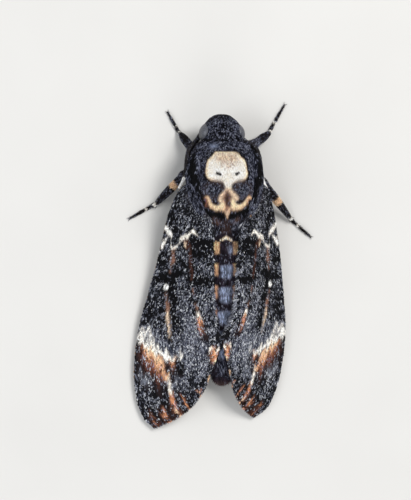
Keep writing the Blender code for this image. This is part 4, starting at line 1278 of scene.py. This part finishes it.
def antenna_scales(side, rings, share, material):
    """Short scales in rings round a feeler."""
    bed = Bed("antenna", rings, (0.01, 0.01, 0.99, 0.99))
    i, j = np.meshgrid(np.arange(3, len(rings) - 6, 3), np.arange(rings.shape[1]), indexing="ij")
    i, j = i.ravel() + rng.integers(-1, 2, i.size), j.ravel()
    roots, along = bed.rings[i, j], bed.along[i, j]
    normals = unit(roots - rings.mean(1)[i])
    size = np.tile(ANTENNA_SCALE, (len(i), 1)) * rng.uniform(0.8, 1.2, (len(i), 1))
    colours = ground("peat", len(i))
    blend(colours, swatch("white"), white_end(share[i]))
    tints = tuft_tints(colours, colours, roots, FUR_SPECKS, FUR_PATCH)
    rise = rng.uniform(0.03, 0.09, len(i))
    lie = combed(along, normals, 0.1)
    scales = tufts(f"scales_antenna_{side}", roots, normals, lie, size, rise, tints, bed.uv[i, j],
                   material, vane=True)
    keep(scales, "antenna")


def make_antenna(side, rows, materials):
    """A feeler of short rings, dark with a white end."""
    rings = tube_rings(rows, ANTENNA_SIDES, 300)
    share = np.linspace(0, 1, len(rings))
    middle = rings.mean(1, keepdims=True)
    joints = 1 - 0.14 * np.abs(np.sin(share * math.pi * ANTENNA_JOINTS)) ** 6
    rings = middle + (rings - middle) * joints[:, None, None]
    antenna_scales(side, rings, share, materials["scales"])
    points, triangles = tube_mesh(rings)
    way = np.concatenate([np.repeat(share, ANTENNA_SIDES), [0, 1]])
    colours = ground("peat", len(points))
    blend(colours, swatch("white"), white_end(way))
    antenna = mesh_from(f"feeler_{side}", points, triangles, linear(colours[:, :3]), materials["horn"])
    keep(antenna, "antenna", f"antenna_{side}")


def make_proboscis(materials):
    """The short tongue, coiled under the head."""
    turns = np.linspace(0, 1, 60)
    angle = turns * PROBOSCIS_TURNS * 2 * math.pi
    radius = PROBOSCIS_COIL[0] + (PROBOSCIS_COIL[1] - PROBOSCIS_COIL[0]) * turns
    x, y, z = PROBOSCIS_CENTRE
    thickness = PROBOSCIS_RADIUS * (1 - 0.12 * np.abs(np.sin(turns * math.pi * 40)) ** 4)
    coil = (np.full_like(turns, x), y - radius * np.sin(angle), z + radius * np.cos(angle), thickness)
    points, triangles = tube_mesh(tube_rings(np.stack(coil, axis=1), 16, 240, up=(1, 0, 0)))
    colours = np.tile(linear(PALETTE["umber"][:3]), (len(points), 1))
    tongue = mesh_from("tongue", points, triangles, colours, materials["horn"])
    keep(tongue, "horn", "proboscis")


def thorn(start, way, length, radius, droop):
    """A curved tapering thorn."""
    way = unit(np.array(way, float))
    share = np.linspace(0, 1, 7)[:, None]
    path = np.array(start) + way * share * length + np.array((0, 0, -1)) * droop * share**2
    return tube_mesh(tube_rings(np.column_stack([path, radius * (1.02 - share)]), 8, 12))


def make_claws(materials):
    """Two claws on each foot, and spurs on the middle and hind shins."""
    pieces = []
    for name, joints in LEG_JOINTS.items():
        knee, ankle, toe = (np.array(joint) for joint in joints[1:])
        foot = unit(toe - ankle) * (1, 1, 0)
        side = np.array((foot[1], -foot[0], 0))
        for sign in (-1, 1):
            start = toe + foot * 0.1 + side * sign * 0.12 + np.array((0, 0, 0.08))
            pieces.append(thorn(start, foot + side * sign * 0.5, *CLAW))
            if "front" not in name:
                shin = unit(ankle - knee)
                start = ankle + side * sign * 0.3
                pieces.append(thorn(start, shin + side * sign * 0.5, *SPUR))
    points, triangles = joined(pieces)
    points[:, 2] = np.maximum(points[:, 2], LOWEST)
    colours = np.tile(linear(PALETTE["umber"][:3]), (len(points), 1))
    keep(mesh_from("claws", points, triangles, colours, materials["horn"]), "horn")


def make_floor():
    bpy.ops.mesh.primitive_plane_add(size=3.0, location=(0, 0, 0))
    floor = bpy.context.object
    floor.name = "floor"
    floor.data.materials.append(floor_material())


def soft_light(name, place, size, power, colour):
    """A square light of that size, in metres, facing the moth."""
    lamp = bpy.data.lights.new(name, "AREA")
    lamp.shape = "SQUARE"
    lamp.size = size
    lamp.energy = power
    lamp.color = colour
    made = bpy.data.objects.new(name, lamp)
    made.location = place
    made.rotation_euler = (-Vector(place)).to_track_quat("-Z", "Y").to_euler()
    bpy.context.scene.collection.objects.link(made)


def make_lights():
    for light in LIGHTS:
        soft_light(*light)
    world = bpy.data.worlds.new("studio")
    world.use_nodes = True
    background = world.node_tree.nodes["Background"]
    background.inputs["Color"].default_value = WORLD_COLOUR
    background.inputs["Strength"].default_value = WORLD_LIGHT
    bpy.context.scene.world = world
    bpy.context.scene.view_settings.view_transform = "Standard"


def make_camera():
    """Looks down on the moth as the photograph does, with its head to the top of the picture."""
    ahead = Vector((math.sin(CAMERA_TURN), 0, -math.cos(CAMERA_TURN)))
    right = Vector((math.cos(CAMERA_TURN), 0, math.sin(CAMERA_TURN)))
    aim = Vector(placed(CAMERA_AIM))
    matrix = Matrix((right, Vector((0, 1, 0)), -ahead)).transposed().to_4x4()
    matrix.translation = aim - ahead * CAMERA_DISTANCE * MM
    lens = bpy.data.cameras.new("camera")
    lens.sensor_fit = "VERTICAL"
    lens.angle = 2 * math.atan(FRAME_HEIGHT / 2 / CAMERA_DISTANCE)
    lens.clip_start = 0.01
    camera = bpy.data.objects.new("camera", lens)
    camera.matrix_world = matrix
    bpy.context.scene.collection.objects.link(camera)
    bpy.context.scene.camera = camera


def main():
    make_camera()
    make_lights()
    make_floor()
    materials = {
        "skin": painted_material("skin", 0.75, 0.0, 3000.0, 0.5, specular=0.1),
        "fur": painted_material("fur", 0.7, 0.02, 1500.0, 0.0, 0.15, 0.08),
        "scales": painted_material("scales", 0.65, 0.0, 1500.0, 0.0, 0.15, 0.08),
        "membrane": painted_material("membrane", 0.6, 0.0, 2500.0, 0.4, specular=0.1),
        "horn": painted_material("horn", 0.45, 0.0, 4000.0, 0.4),
    }
    beds = make_beds()
    pelt = Pelt(beds)
    skin, points, normals, triangles, found = make_skin(beds, pelt, materials["skin"])
    nodes = [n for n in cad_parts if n.split("_")[0] in
             ("head", "collar", "thorax", "abdomen", "tegula", "palp", "leg")]
    keep(skin, "body_fur", *nodes)
    make_fur(points, normals, triangles, found, pelt, materials["fur"])
    eye = eye_material()
    for side, sign, rows in (("left", -1, ANTENNA_LEFT), ("right", 1, ANTENNA_RIGHT)):
        make_forewing(side, materials)
        make_hindwing(side, materials)
        make_fringe(side, materials)
        make_eye(side, sign, eye)
        make_antenna(side, rows, materials)
    make_proboscis(materials)
    make_claws(materials)


main()
